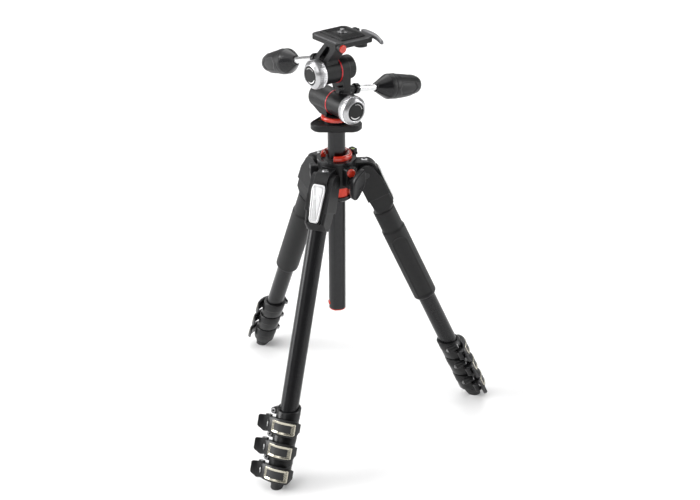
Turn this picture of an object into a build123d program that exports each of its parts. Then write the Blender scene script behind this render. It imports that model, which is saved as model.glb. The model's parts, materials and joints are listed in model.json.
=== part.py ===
from build123d import *
from math import cos, radians, sin
import os

# Four-section folding tripod with a sliding centre column and a three-way pan and tilt head.
# Millimetres, +Z up. The origin is on the floor, on the centre column's axis. The camera's lens
# looks towards -Y, so the operator stands on the +Y side, and the front tilt turns about X.

# ---- driving sizes: legs ----
leg_azimuths = {"left": 180, "front": 300, "right": 60}
leg_angle = 24.3            # each open leg's lean from the vertical
leg_reach = 437.7           # spread pivot to the floor, along a closed leg
pivot_radius = 40.8         # spread pivots from the column's axis
tube_radii = [13.0, 11.25, 9.5, 7.75]
tube_wall = 1.35
tube_top = 24               # first tube's upper end, from the pivot
tube_stagger = 2            # each inner tube's upper end sits this much lower than the last
first_lock = 316            # top of the first lock collar, from the pivot
lock_pitch = 34
collar_radius = 17.2
collar_seat = 18            # how far a tube's end goes into its own collar
collar_gap = 0.6            # left between one collar and the next with the leg closed
slide_gap = 0.1             # radial, between a tube and the collar that guides it

foot_radius = 12
foot_taper = 11
foot_start = 3              # rubber foot's upper end, below the last collar
foot_depth = 6              # how far the last tube goes into it

# ---- driving sizes: shoulder, where a leg hangs on the spider ----
ear_width = 20
ear_radius = 18.4
pin_radius = 4
shoulder_width = 34
cheek_radius = 14.5
shoulder_front = 18.5       # casting's outer face from the leg's axis
shoulder_back = 15
shoulder_end = 66
web_start = 20.5
shoulder_waist = (57, 30.8, 29)   # where the casting has narrowed, its depth and its width there
selector_width = 20.5
selector_span = (2, 55.5)
selector_thickness = 3
selector_pivot = 31
part_gap = 0.3              # between faces that pass each other

# ---- driving sizes: flip lock levers ----
lever_height = 23.5
lever_drop = 20             # lever's upper edge below its collar's top
lever_pin = (9, 25)         # pin's place across the leg: outwards, and clockwise seen from above
lever_pin_radius = 1.5
knuckle_thickness = 2.2
knuckle_radius = 5.2
lug_radius = 4.5
bolt_drop = 13
bolt_radius = 3.5

# ---- driving sizes: rubber leg grips ----
grip_lengths = {"left": (100, 228), "right": (100, 228)}   # step and lower end, down the leg
grip_neck_radius = 16.2
grip_radius = 17.75

# ---- driving sizes: spider and centre column ----
hub_radius = 27
hub_rise = 22.1             # hub's top above the spread pivots
hub_drop = 13.5             # hub's underside below the spread pivots
neck_radius = 21.9
neck_height = 3.5
collar_lip_radius = 22.1
collar_lip_height = 7
column_radius = 12.6
column_flat = 11.8          # each of the column's three flats from its axis
column_wall = 1.6
flat_azimuth = 90
column_gap = 0.3
column_bottom = 176.5
column_top = 470
end_cap_height = 2
spigot_height = 3           # end cap's spigot inside the column
top_spigot_height = 12
sleeve_radius = 19.8
sleeve_height = 17.4
sleeve_ring_radius = 21.7
sleeve_ring_height = 6.5
top_plate_height = 9
plate_lobe_offset = 24
plate_lobe_radius = 15
plate_azimuth = 22.8
screw_azimuth = 350
button_radius = 3.8
button_flange = 0.9
button_reach = 13.5         # button's outer face from the column's axis
button_azimuth = 250

wing_boss_end = 36          # wing knob boss's outer face from the column's axis
wing_hub_radius = 6.4
wing_start = 46             # wing's inner face from the column's axis
clamp_cap_radius = 6
cap_boss_depth = 12
cap_wall = 1.2              # around a press-in cap
cap_thickness = 1.6
socket_azimuth = 240
socket_depth = 8
socket_bore_radius = 4.76
level_boss_place = 29       # spirit level from the column's axis
lip_opening = (241, 312)    # azimuths between which the red lip is open
set_screw_radius = 3

# ---- driving sizes: head ----
base_radius = 20
base_height = 3.2
pan_spigot_radius = 9
pan_spigot_height = 3
pan_hub_radius = 17
pan_arm_width = 30
pan_ring_radius = 21.5
pan_ring_height = 4.6
pan_lock_radius = 3
pan_lock_head_radius = 8
pan_lock_head_length = 17
tilt_height = 504.6         # front tilt axis, along X, above the floor
side_height = 552.2         # side tilt axis, along Y, above the floor
barrel_radius = 17.2
barrel_end = 43             # pan barrel's outer end from the pan axis
ring_place = 2.7            # pan barrel's inner face from the pan axis
ring_width = 1.5
ring_gap = 0.15
shaft_radius = 6
shaft_overhang = 11         # shaft's end past its barrel, inside the friction knob
running_gap = 0.06
tilt_barrel_end = 28.5
knob_radius = 20
knob_length = 17
knob_cap_radius = 13
housing_depth = 12
housing_cap_depth = 12
rear_handle_fall = 9.2      # handles' slope below the horizontal
side_handle_fall = 17.7
handle_boss_radius = 5.2
handle_boss_end = 8.5       # boss's outer face, along the handle
handle_root_radius = 4
handle_root_start = -5      # threaded root's inner end
handle_collar_start = 9.2
handle_rod_radius = 4.8
handle_collar_radius = 7.5
handle_collar_length = 7
rod_in_grip = 28
rear_grip_start = 46.5      # grips' inner ends, along their handles
side_grip_start = 60
grip_cone = 20.5
handle_grip_length = 60
handle_grip_radius = 18
camera_screw_radius = 3.175
tray_length = 65
tray_width = 59
tray_thickness = 7.4
tray_top = 601.2
tray_centre = (5.5, 6.5)
plate_length = 52
plate_width = 40
plate_centre = (4, 8)
plate_thickness = 5.6
plate_pocket = 4            # how deep the plate sits in the tray
screw_head_radius = 6
screw_neck_radius = 2.5
screw_standing = 5.5        # camera screw above the plate
side_cap_radius = 5.4
plate_lever_radius = 4.1    # round end on the lever's hinge
plate_lever_height = 6.5

pivot_height = leg_reach * cos(radians(leg_angle))
hub_bottom = pivot_height - hub_drop
hub_top = pivot_height + hub_rise
hub_height = hub_top - hub_bottom
gap_half = ear_width / 2 + part_gap
hinge_length = lock_pitch - collar_gap - lever_drop    # lever's two knuckles and the lug between them

os.makedirs("parts", exist_ok=True)


def save(piece, name):
    piece.part.label = name
    export_step(piece.part, f"parts/{name}.step")


def radial(azimuth, radius, height):
    return Vector(radius * cos(radians(azimuth)), radius * sin(radians(azimuth)), height)


def leg_plane(azimuth):
    # origin on the spread pivot, x outwards across the leg, y clockwise, z down the leg
    lean = radians(leg_angle)
    out = radial(azimuth, 1, 0)
    down = out * sin(lean) - Vector(0, 0, cos(lean))
    across = out * cos(lean) + Vector(0, 0, sin(lean))
    return Plane(origin=radial(azimuth, pivot_radius, pivot_height), x_dir=across, z_dir=down)


def side_plane(leg):
    # the leg's own plane: x outwards, y down the leg
    return Plane(origin=leg.origin, x_dir=leg.x_dir, z_dir=-leg.y_dir)


def column_section(level, grow):
    # round column with three long flats
    with BuildSketch(Plane.XY.offset(level)) as section:
        Circle(column_radius + grow)
        with PolarLocations(column_flat + grow + 5, 3, start_angle=flat_azimuth):
            Rectangle(10, 40, mode=Mode.SUBTRACT)
    return section.sketch


# ================= legs =================

def leg_shoulder(leg):
    # forked casting: two cheeks outside the spider's ear, and a socket for the first tube
    waist, waist_depth, waist_width = shoulder_waist
    with BuildPart() as shoulder:
        for start in (gap_half, -shoulder_width / 2):
            with BuildSketch(side_plane(leg).offset(start)):
                Circle(cheek_radius)
                with BuildLine():
                    Polyline((-cheek_radius, 0), (-shoulder_back, web_start), (-shoulder_back, 40),
                             (shoulder_front, 40), (shoulder_front, web_start - 4), (cheek_radius, 0),
                             (-cheek_radius, 0))
                make_face()
            extrude(amount=shoulder_width / 2 - gap_half)
        with BuildSketch(leg.offset(web_start)):
            with Locations(((shoulder_front - shoulder_back) / 2, 0)):
                RectangleRounded(shoulder_front + shoulder_back, shoulder_width, 3)
        with BuildSketch(leg.offset(waist)):
            with Locations((shoulder_front - waist_depth / 2, 0)):
                RectangleRounded(waist_depth, waist_width, 3)
        loft()
        with BuildSketch(leg.offset(waist)):
            with Locations((shoulder_front - waist_depth / 2, 0)):
                RectangleRounded(waist_depth, waist_width, 3)
        with BuildSketch(leg.offset(shoulder_end)):
            RectangleRounded(waist_width, waist_width, 12)
        loft()
        with BuildSketch(leg.offset(tube_top)):
            Circle(tube_radii[0])
        extrude(amount=shoulder_end, mode=Mode.SUBTRACT)
        with BuildSketch(side_plane(leg)):
            Circle(pin_radius + running_gap)
        extrude(amount=shoulder_width, both=True, mode=Mode.SUBTRACT)
        # well behind the lower half of the angle selector, so that it can be pressed in
        well_length = selector_span[1] - selector_pivot + 1
        with BuildSketch(leg.offset(selector_pivot)):
            with Locations((shoulder_front, 0)):
                Rectangle(7, selector_width + 1)
        extrude(amount=well_length, mode=Mode.SUBTRACT)
    return shoulder


def leg_selector(leg):
    # tapered press plate that lets the leg pass its spread stops; it rocks about its middle
    face = Plane(origin=leg.origin + leg.x_dir * (shoulder_front + part_gap), x_dir=leg.y_dir,
                 z_dir=leg.x_dir)
    top, bottom = selector_span
    with BuildPart() as selector:
        with BuildSketch(face):
            with BuildLine():
                Polyline((-selector_width / 2 + 2, top), (selector_width / 2 - 2, top),
                         (selector_width / 2, top + 8), (selector_width / 2 - 3, bottom - 3),
                         (selector_width / 2 - 5, bottom), (-selector_width / 2 + 5, bottom),
                         (-selector_width / 2 + 3, bottom - 3), (-selector_width / 2, top + 8),
                         (-selector_width / 2 + 2, top))
            make_face()
        extrude(amount=selector_thickness)
        outer_edges = selector.faces().sort_by(Axis(face.origin, leg.x_dir))[-1].edges()
        chamfer(outer_edges, 0.7)
    return selector


def lock_collar(leg, start, inner, outer):
    # clamp collar on a tube's lower end: it holds this tube and guides the next one
    pin_x, pin_y = lever_pin
    lug_top = start + lever_drop + knuckle_thickness + part_gap
    lug_length = hinge_length - 2 * knuckle_thickness - 2 * part_gap
    with BuildPart() as collar:
        with BuildSketch(leg.offset(start)):
            Circle(collar_radius)
        extrude(amount=lock_pitch - collar_gap)
        # lug that carries the lever's pin
        with BuildSketch(leg.offset(lug_top)):
            with Locations((pin_x, pin_y)):
                Circle(lug_radius)
            with BuildLine():
                Polyline((4, 10), (4.6, pin_y), (13.4, pin_y), (13, 10), (4, 10))
            make_face()
        extrude(amount=lug_length)
        # pair of ears drawn together by the clamp bolt
        with BuildSketch(leg.offset(start + bolt_drop - bolt_radius)):
            with Locations((1.5, collar_radius + 0.8)):
                RectangleRounded(16, 13, 2)
        extrude(amount=2 * bolt_radius)
        with BuildSketch(leg.offset(start)):
            Circle(outer)
        extrude(amount=collar_seat, mode=Mode.SUBTRACT)
        with BuildSketch(leg.offset(start)):
            Circle(inner + slide_gap)
        extrude(amount=lock_pitch, mode=Mode.SUBTRACT)
        with BuildSketch(leg.offset(lug_top - 1)):
            with Locations((pin_x, pin_y)):
                Circle(lever_pin_radius + running_gap)
        extrude(amount=lock_pitch, mode=Mode.SUBTRACT)
        # slot that lets the collar close on the inner tube
        with BuildSketch(leg.offset(start + collar_seat)):
            with Locations((-4, 14)):
                Rectangle(1.6, 14)
        extrude(amount=lock_pitch, mode=Mode.SUBTRACT)
    return collar


def leg_section(leg, index):
    # one telescopic tube, with the lock collar on its lower end
    start = first_lock + index * lock_pitch
    top = tube_top + index * tube_stagger
    with BuildPart() as tube:
        with BuildSketch(leg.offset(top)):
            Circle(tube_radii[index])
            Circle(tube_radii[index] - tube_wall, mode=Mode.SUBTRACT)
        extrude(amount=start + collar_seat - top)
    collar = lock_collar(leg, start, tube_radii[index + 1], tube_radii[index])
    return Compound(children=[tube.part, collar.part])


def leg_foot(leg):
    # last tube and its rubber foot, trimmed flat where it meets the floor
    start = first_lock + 3 * lock_pitch + foot_start
    top = tube_top + 3 * tube_stagger
    with BuildPart() as tube:
        with BuildSketch(leg.offset(top)):
            Circle(tube_radii[3])
            Circle(tube_radii[3] - tube_wall, mode=Mode.SUBTRACT)
        extrude(amount=start + foot_depth - top)
    with BuildPart() as rubber:
        with BuildSketch(leg.offset(start)):
            Circle(foot_radius)
        extrude(amount=leg_reach - start + foot_radius, taper=foot_taper)
        with BuildSketch(leg.offset(start)):
            Circle(tube_radii[3])
        extrude(amount=foot_depth, mode=Mode.SUBTRACT)
        split(bisect_by=Plane.XY, keep=Keep.TOP)
    return Compound(children=[tube.part, rubber.part])


def lock_lever(leg, start):
    # flip lever: a bowed plate over the leg's outer side, with a flared thumb tab past the pin
    pin_x, pin_y = lever_pin
    top = start + lever_drop
    with BuildPart() as lever:
        with BuildSketch(leg.offset(top)):
            with BuildLine():
                Spline((8, -25), (17.5, -20), (22.8, -9), (23.4, 2), (19.2, 15), (16.9, 22), (17.8, 29),
                       (21.4, 35.5))
                Line((21.4, 35.5), (19.6, 37.2))
                Spline((19.6, 37.2), (15.4, 32), (14.1, 26.5), (14.4, 19), (17.5, 9), (18.6, 1), (18.1, -8),
                       (13.5, -17.5), (6.6, -22.4))
                Line((6.6, -22.4), (8, -25))
            make_face()
        extrude(amount=lever_height)
        for level in (top, top + hinge_length - knuckle_thickness):
            with BuildSketch(leg.offset(level)):
                with Locations((pin_x, pin_y)):
                    Circle(knuckle_radius)
                with BuildLine():
                    Polyline((pin_x, pin_y - knuckle_radius), (16.2, 20.5), (16, 27), (pin_x, pin_y + 5),
                             (pin_x, pin_y - knuckle_radius))
                make_face()
            extrude(amount=knuckle_thickness)
        with BuildSketch(leg.offset(top)):
            with Locations((pin_x, pin_y)):
                Circle(lever_pin_radius)
        extrude(amount=hinge_length)
    return lever


def leg_grip(leg, name):
    # moulded rubber sleeve on the first tube
    step, end = grip_lengths[name]
    with BuildPart() as grip:
        with BuildSketch(leg.offset(shoulder_end)):
            Circle(grip_neck_radius)
        extrude(amount=step - shoulder_end)
        with BuildSketch(leg.offset(step)):
            Circle(grip_radius)
        extrude(amount=end - step)
        fillet(grip.edges().group_by(Axis(leg.origin, leg.z_dir))[-1], 2)
        with BuildSketch(leg.offset(shoulder_end)):
            Circle(tube_radii[0])
        extrude(amount=end - shoulder_end, mode=Mode.SUBTRACT)
    return grip


for leg_name, leg_azimuth in leg_azimuths.items():
    leg = leg_plane(leg_azimuth)
    save(leg_shoulder(leg), f"leg_{leg_name}_shoulder")
    save(leg_selector(leg), f"leg_{leg_name}_selector")
    for index in range(3):
        section = leg_section(leg, index)
        section.label = f"leg_{leg_name}_section_{index + 1}"
        export_step(section, f"parts/leg_{leg_name}_section_{index + 1}.step")
        save(lock_lever(leg, first_lock + index * lock_pitch), f"leg_{leg_name}_lever_{index + 1}")
    foot = leg_foot(leg)
    foot.label = f"leg_{leg_name}_foot"
    export_step(foot, f"parts/leg_{leg_name}_foot.step")
    if leg_name in grip_lengths:
        save(leg_grip(leg, leg_name), f"leg_{leg_name}_grip")


# ================= spider =================

clamp_face = Plane(origin=(37.2, -2.6, pivot_height + 13.1), x_dir=(0, 0, 1), z_dir=radial(-25, 1, 0))
with BuildPart() as spider:
    with BuildSketch(Plane.XY.offset(hub_bottom)):
        Circle(hub_radius)
    extrude(amount=hub_height)
    with BuildSketch(Plane.XY.offset(hub_top)):
        Circle(neck_radius)
    extrude(amount=neck_height)
    for leg_azimuth in leg_azimuths.values():
        out = radial(leg_azimuth, 1, 0)
        across = Plane(origin=(0, 0, pivot_height), x_dir=out, z_dir=out.cross(Vector(0, 0, 1)))
        with BuildSketch(across):
            with BuildLine():
                Polyline((10, ear_radius - part_gap), (pivot_radius + 3, ear_radius - part_gap),
                         (pivot_radius, 0), (pivot_radius, -ear_radius), (hub_radius - 4, -hub_drop),
                         (10, -hub_drop), (10, ear_radius - part_gap))
            make_face()
            with Locations((pivot_radius, 0)):
                Circle(ear_radius)
            with Locations((pivot_radius, ear_radius - part_gap + 5)):
                Rectangle(40, 10, mode=Mode.SUBTRACT)
        extrude(amount=ear_width / 2, both=True)
        with BuildSketch(across):
            with Locations((pivot_radius, 0)):
                Circle(pin_radius)
        extrude(amount=ear_width, both=True, mode=Mode.SUBTRACT)
    # boss for the column's wing knob, and the cap's seat above it
    with BuildSketch(Plane.YZ.offset(wing_boss_end - 16)):
        with Locations((0, pivot_height + 4)):
            RectangleRounded(18, 30, 4)
    extrude(amount=16)
    with BuildSketch(clamp_face.offset(-cap_boss_depth)):
        Circle(clamp_cap_radius + cap_wall)
    extrude(amount=cap_boss_depth)
    with BuildSketch(clamp_face):
        Circle(clamp_cap_radius + part_gap)
    extrude(amount=cap_boss_depth, mode=Mode.SUBTRACT)
    # pad for the accessory socket
    socket_face = Plane(origin=radial(socket_azimuth, hub_radius - 3, pivot_height + 5),
                        x_dir=radial(socket_azimuth + 90, 1, 0), z_dir=radial(socket_azimuth, 1, 0))
    with BuildSketch(socket_face):
        RectangleRounded(13, 17, 3)
    extrude(amount=6)
    add(extrude(column_section(hub_bottom - 5, column_gap), amount=60, mode=Mode.PRIVATE),
        mode=Mode.SUBTRACT)
    with BuildSketch(Plane.YZ):
        with Locations((0, pivot_height)):
            Circle(pin_radius + running_gap)
    extrude(amount=60, mode=Mode.SUBTRACT)
    with BuildSketch(Plane.YZ.offset(wing_boss_end)):
        with Locations((0, pivot_height)):
            Circle(wing_hub_radius + 1)
    extrude(amount=10, mode=Mode.SUBTRACT)
save(spider, "spider")

with BuildPart() as shoulder_pins:
    for leg_azimuth in leg_azimuths.values():
        with BuildSketch(side_plane(leg_plane(leg_azimuth))):
            Circle(pin_radius)
        extrude(amount=shoulder_width / 2, both=True)
save(shoulder_pins, "shoulder_pins")

lip_bottom = hub_top + neck_height
with BuildPart() as collar_ring:
    with BuildSketch(Plane.XY.offset(lip_bottom)):
        Circle(collar_lip_radius)
    extrude(amount=collar_lip_height)
    fillet(collar_ring.edges().group_by(Axis.Z)[-1], 3)
    with BuildSketch(Plane.XY.offset(lip_bottom)):
        Circle(collar_lip_radius - 7)
    with BuildSketch(Plane.XY.offset(lip_bottom + collar_lip_height)):
        Circle(collar_lip_radius - 3.5)
    loft(mode=Mode.SUBTRACT)
    # the lip is open on one side
    with BuildSketch(Plane.XY.offset(lip_bottom)):
        with BuildLine():
            Polyline((0, 0), radial(lip_opening[0], 2 * collar_lip_radius, 0),
                     radial(lip_opening[1], 2 * collar_lip_radius, 0), (0, 0))
        make_face()
    extrude(amount=collar_lip_height, mode=Mode.SUBTRACT)
save(collar_ring, "collar_ring")

with BuildPart() as accessory_socket:
    with BuildSketch(socket_face.offset(6)):
        RectangleRounded(15, 20, 3)
    extrude(amount=socket_depth)
    chamfer(accessory_socket.faces().sort_by(Axis(socket_face.origin, socket_face.z_dir))[-1].edges(), 0.8)
    with BuildSketch(socket_face.offset(8)):
        Circle(socket_bore_radius)
    extrude(amount=socket_depth, mode=Mode.SUBTRACT)
save(accessory_socket, "accessory_socket")

with BuildPart() as level_ring:
    with BuildSketch(Plane.XY.offset(hub_top + part_gap)):
        Circle(hub_radius + 1)
        with Locations(Location((0, level_boss_place, 0))):
            RectangleRounded(13, 9, 2)
        Circle(neck_radius + 0.5, mode=Mode.SUBTRACT)
    extrude(amount=neck_height - 2 * part_gap)
    with BuildSketch(Plane.XY.offset(hub_top + neck_height - part_gap)):
        with Locations(Location((0, level_boss_place, 0))):
            RectangleRounded(12, 8, 2)
    extrude(amount=5)
    with BuildSketch(Plane.XY.offset(hub_top + neck_height + 3.5)):
        with Locations(Location((0, level_boss_place, 0))):
            Circle(3)
    extrude(amount=5, mode=Mode.SUBTRACT)
save(level_ring, "level_ring")

with BuildPart() as clamp_cap:
    with BuildSketch(clamp_face):
        Circle(clamp_cap_radius)
    extrude(amount=cap_thickness)
    chamfer(clamp_cap.faces().sort_by(Axis(clamp_face.origin, clamp_face.z_dir))[-1].edges(), 0.5)
save(clamp_cap, "clamp_cap")

with BuildPart() as column_sleeve:
    with BuildSketch(Plane.XY.offset(hub_bottom - sleeve_height)):
        Circle(sleeve_radius)
    extrude(amount=sleeve_height)
    add(extrude(column_section(hub_bottom - sleeve_height, column_gap), amount=20, mode=Mode.PRIVATE),
        mode=Mode.SUBTRACT)
save(column_sleeve, "column_sleeve")

ring_bottom = hub_bottom - sleeve_height - sleeve_ring_height
with BuildPart() as sleeve_ring:
    with BuildSketch(Plane.XY.offset(ring_bottom)):
        Circle(sleeve_ring_radius)
    extrude(amount=sleeve_ring_height)
    chamfer(sleeve_ring.edges().group_by(Axis.Z)[0], 1.5)
    add(extrude(column_section(ring_bottom, column_gap), amount=20, mode=Mode.PRIVATE), mode=Mode.SUBTRACT)
save(sleeve_ring, "sleeve_ring")

with BuildPart() as column_knob:
    with BuildSketch(Plane.YZ.offset(column_radius + 4)):
        with Locations((0, pivot_height)):
            Circle(pin_radius)
    extrude(amount=26)
    with BuildSketch(Plane.YZ.offset(wing_boss_end + part_gap)):
        with Locations((0, pivot_height)):
            Circle(wing_hub_radius)
    extrude(amount=wing_start - wing_boss_end)
    # wing, standing up the column and leaning a little towards the right leg
    wing_plane = Plane(origin=(wing_start, 0, pivot_height),
                       x_dir=(0, cos(radians(-22)), sin(radians(-22))), z_dir=(1, 0, 0))
    with BuildSketch(wing_plane):
        with BuildLine():
            ThreePointArc((0, 22), (-11.5, 2), (-4, -21.5))
            ThreePointArc((-4, -21.5), (0, -23), (4, -21.5))
            ThreePointArc((4, -21.5), (9.5, 2), (0, 22))
        make_face()
    extrude(amount=9, taper=8)
save(column_knob, "column_knob")

# ================= centre column =================

tube_start = column_bottom + end_cap_height
button_height = tube_start + spigot_height + button_radius + button_flange + 0.8
button_start = column_flat - column_wall - 3
button_plane = Plane(origin=(0, 0, button_height), z_dir=radial(button_azimuth, 1, 0))
with BuildPart() as column_tube:
    add(extrude(column_section(tube_start, 0), amount=column_top - tube_start, mode=Mode.PRIVATE))
    with BuildSketch(Plane.XY.offset(tube_start)):
        Circle(column_flat - column_wall)
    extrude(amount=column_top - tube_start, mode=Mode.SUBTRACT)
    with BuildSketch(button_plane):
        Circle(button_radius + part_gap)
    extrude(amount=20, mode=Mode.SUBTRACT)
save(column_tube, "column_tube")

with BuildPart() as column_end_cap:
    add(extrude(column_section(column_bottom, 0), amount=end_cap_height, mode=Mode.PRIVATE))
    chamfer(column_end_cap.edges().group_by(Axis.Z)[0], 0.5)
    with BuildSketch(Plane.XY.offset(tube_start)):
        Circle(column_flat - column_wall)
    extrude(amount=spigot_height)
save(column_end_cap, "column_end_cap")

with BuildPart() as release_button:
    with BuildSketch(button_plane.offset(button_start)):
        Circle(button_radius + button_flange)
    extrude(amount=1.2)
    with BuildSketch(button_plane.offset(button_start + 0.5)):
        Circle(button_radius)
    extrude(amount=button_reach - button_start - 0.5)
    fillet(release_button.faces().sort_by(Axis(button_plane.origin, button_plane.z_dir))[-1].edges(), 0.8)
save(release_button, "release_button")

plate_top = column_top + top_plate_height
with BuildPart() as column_top_plate:
    with BuildSketch(Plane.XY.offset(column_top)):
        with PolarLocations(plate_lobe_offset, 3, start_angle=plate_azimuth):
            Circle(plate_lobe_radius)
        make_hull()
    extrude(amount=top_plate_height)
    chamfer(column_top_plate.edges().group_by(Axis.Z)[0], 2.2)
    fillet(column_top_plate.edges().group_by(Axis.Z)[-1], 0.8)
    # spigot that fills the column's upper end
    with BuildSketch(Plane.XY.offset(column_top - top_spigot_height)):
        Circle(column_flat - column_wall)
    extrude(amount=top_spigot_height)
    # set screw holes
    with BuildSketch(Plane.XY.offset(plate_top)):
        with PolarLocations(plate_lobe_offset, 3, start_angle=screw_azimuth):
            Circle(set_screw_radius)
    extrude(amount=-top_plate_height, mode=Mode.SUBTRACT)
save(column_top_plate, "column_top_plate")

# ================= head =================

base_top = plate_top + base_height
with BuildPart() as pan_base:
    with BuildSketch(Plane.XY.offset(plate_top)):
        Circle(base_radius)
    extrude(amount=base_height)
    with BuildSketch(Plane.XY.offset(base_top)):
        Circle(pan_spigot_radius)
    extrude(amount=pan_spigot_height)
save(pan_base, "pan_base")

ring_top = base_top + ring_gap + pan_ring_height
with BuildPart() as pan_ring:
    with BuildSketch(Plane.XY.offset(base_top + ring_gap)):
        Circle(pan_ring_radius)
    extrude(amount=pan_ring_height)
    fillet(pan_ring.edges().group_by(Axis.Z)[-1], 2)
    with BuildSketch(Plane.XY.offset(base_top)):
        Circle(pan_hub_radius)
    extrude(amount=20, mode=Mode.SUBTRACT)
save(pan_ring, "pan_ring")

pan_lock_place = (-11, tilt_height - 4)
with BuildPart() as pan_body:
    with BuildSketch(Plane.XY.offset(base_top + ring_gap)):
        Circle(pan_hub_radius)
        Circle(pan_spigot_radius + running_gap, mode=Mode.SUBTRACT)
    extrude(amount=pan_ring_height)
    # cast arm that carries the barrel on one side of the pan axis
    with BuildSketch(Plane.XZ):
        with BuildLine():
            Polyline((-ring_place, ring_top), (-pan_ring_radius + 2, ring_top),
                     (-barrel_end + 1.5, tilt_height - 8), (-barrel_end + 1.5, tilt_height),
                     (-ring_place, tilt_height), (-ring_place, ring_top))
        make_face()
    extrude(amount=pan_arm_width / 2, both=True)
    with BuildSketch(Plane.YZ.offset(-ring_place)):
        with Locations((0, tilt_height)):
            Circle(barrel_radius)
    extrude(amount=ring_place - barrel_end)
    fillet(pan_body.faces().sort_by(Axis.X)[0].edges(), 1.2)
    with BuildSketch(Plane.XY.offset(base_top)):
        Circle(pan_spigot_radius + running_gap)
    extrude(amount=pan_spigot_height + part_gap, mode=Mode.SUBTRACT)
    # threaded hole for the pan lock
    with BuildSketch(Plane.XZ.offset(-9.5)):
        with Locations(pan_lock_place):
            Circle(pan_lock_radius + running_gap)
    extrude(amount=-12, mode=Mode.SUBTRACT)
    # tilt shaft through the tilting arm
    with BuildSketch(Plane.YZ.offset(-ring_place - 2)):
        with Locations((0, tilt_height)):
            Circle(shaft_radius)
    extrude(amount=ring_place + 2 + tilt_barrel_end + shaft_overhang)
save(pan_body, "pan_body")

with BuildPart() as pan_lock_knob:
    with BuildSketch(Plane.XZ.offset(-10)):
        with Locations(pan_lock_place):
            Circle(pan_lock_radius)
    extrude(amount=-12)
    with BuildSketch(Plane.XZ.offset(-barrel_radius - part_gap - 2)):
        with Locations(pan_lock_place):
            Circle(pan_lock_head_radius)
    extrude(amount=-pan_lock_head_length)
    chamfer(pan_lock_knob.faces().sort_by(Axis.Y)[-1].edges(), 1.2)
save(pan_lock_knob, "pan_lock_knob")

arm_start = ring_gap + ring_width - ring_place
rear_frame = Plane(origin=(12, housing_depth, tilt_height + 20.4), x_dir=(1, 0, 0),
                   z_dir=(0, cos(radians(rear_handle_fall)), -sin(radians(rear_handle_fall))))
with BuildPart() as tilt_arm:
    with BuildSketch(Plane.YZ.offset(arm_start)):
        with Locations((0, tilt_height)):
            Circle(barrel_radius)
    extrude(amount=tilt_barrel_end - arm_start)
    with BuildSketch(Plane.XZ.offset(-housing_depth)):
        with BuildLine():
            Polyline((arm_start, tilt_height), (barrel_radius + 0.3, tilt_height),
                     (barrel_radius + 0.3, side_height), (-barrel_radius, side_height),
                     (-6, tilt_height + barrel_radius + 3), (arm_start, tilt_height + barrel_radius + 1),
                     (arm_start, tilt_height))
        make_face()
        with Locations((0, side_height)):
            Circle(barrel_radius + 0.3)
    extrude(amount=housing_depth + ring_place - ring_gap - ring_width)
    with BuildSketch(Plane.XZ.offset(-housing_depth)):
        with Locations((0, side_height)):
            Circle(barrel_radius - 0.4)
    extrude(amount=-housing_cap_depth)
    fillet(tilt_arm.faces().sort_by(Axis.Y)[-1].edges(), 3)
    # boss for the rear handle, and the blind boss opposite it
    with BuildSketch(rear_frame.offset(-2)):
        Circle(handle_boss_radius)
    extrude(amount=handle_boss_end + 2)
    with BuildSketch(Plane.XZ):
        with Locations((13, tilt_height + 23.5)):
            Circle(5)
    extrude(amount=8)
    with BuildSketch(rear_frame.offset(handle_root_start - 1)):
        Circle(handle_root_radius + running_gap)
    extrude(amount=16, mode=Mode.SUBTRACT)
    with BuildSketch(Plane.YZ.offset(arm_start)):
        with Locations((0, tilt_height)):
            Circle(shaft_radius + running_gap)
    extrude(amount=60, mode=Mode.SUBTRACT)
    # side tilt shaft, towards the front
    with BuildSketch(Plane.XZ.offset(-2)):
        with Locations((0, side_height)):
            Circle(shaft_radius)
    extrude(amount=2 + tilt_barrel_end + shaft_overhang)
save(tilt_arm, "tilt_arm")

with BuildPart() as tilt_rings:
    with BuildSketch(Plane.YZ.offset(ring_gap - ring_place)):
        with Locations((0, tilt_height)):
            Circle(barrel_radius + 0.5)
            Circle(shaft_radius + 2, mode=Mode.SUBTRACT)
    extrude(amount=ring_width)
    with BuildSketch(Plane.XZ.offset(ring_place - ring_gap)):
        with Locations((0, side_height)):
            Circle(barrel_radius + 0.7)
            Circle(shaft_radius, mode=Mode.SUBTRACT)
    extrude(amount=-ring_width)
save(tilt_rings, "tilt_rings")


def friction_knob(face):
    # knurled ring knob with a bevelled rim and a flush round cap
    with BuildPart() as knob:
        with BuildSketch(face):
            Circle(knob_radius)
        extrude(amount=knob_length)
        chamfer(knob.faces().sort_by(Axis(face.origin, face.z_dir))[-1].edges(), 4)
        with BuildSketch(face.offset(knob_length - 1)):
            Circle(knob_cap_radius)
        extrude(amount=2, mode=Mode.SUBTRACT)
        with BuildSketch(face):
            Circle(shaft_radius + running_gap)
        extrude(amount=knob_length - 4, mode=Mode.SUBTRACT)
    with BuildPart() as cap:
        with BuildSketch(face.offset(knob_length - 1)):
            Circle(knob_cap_radius)
        extrude(amount=1.2)
    return Compound(children=[knob.part, cap.part])


knob_start = tilt_barrel_end + part_gap
knob_faces = {
    "tilt_friction_knob": Plane(origin=(knob_start, 0, tilt_height), x_dir=(0, 1, 0), z_dir=(1, 0, 0)),
    "side_friction_knob": Plane(origin=(0, -knob_start + 2, side_height), x_dir=(1, 0, 0), z_dir=(0, -1, 0)),
}
for knob_name, face in knob_faces.items():
    knob = friction_knob(face)
    knob.label = knob_name
    export_step(knob, f"parts/{knob_name}.step")

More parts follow.
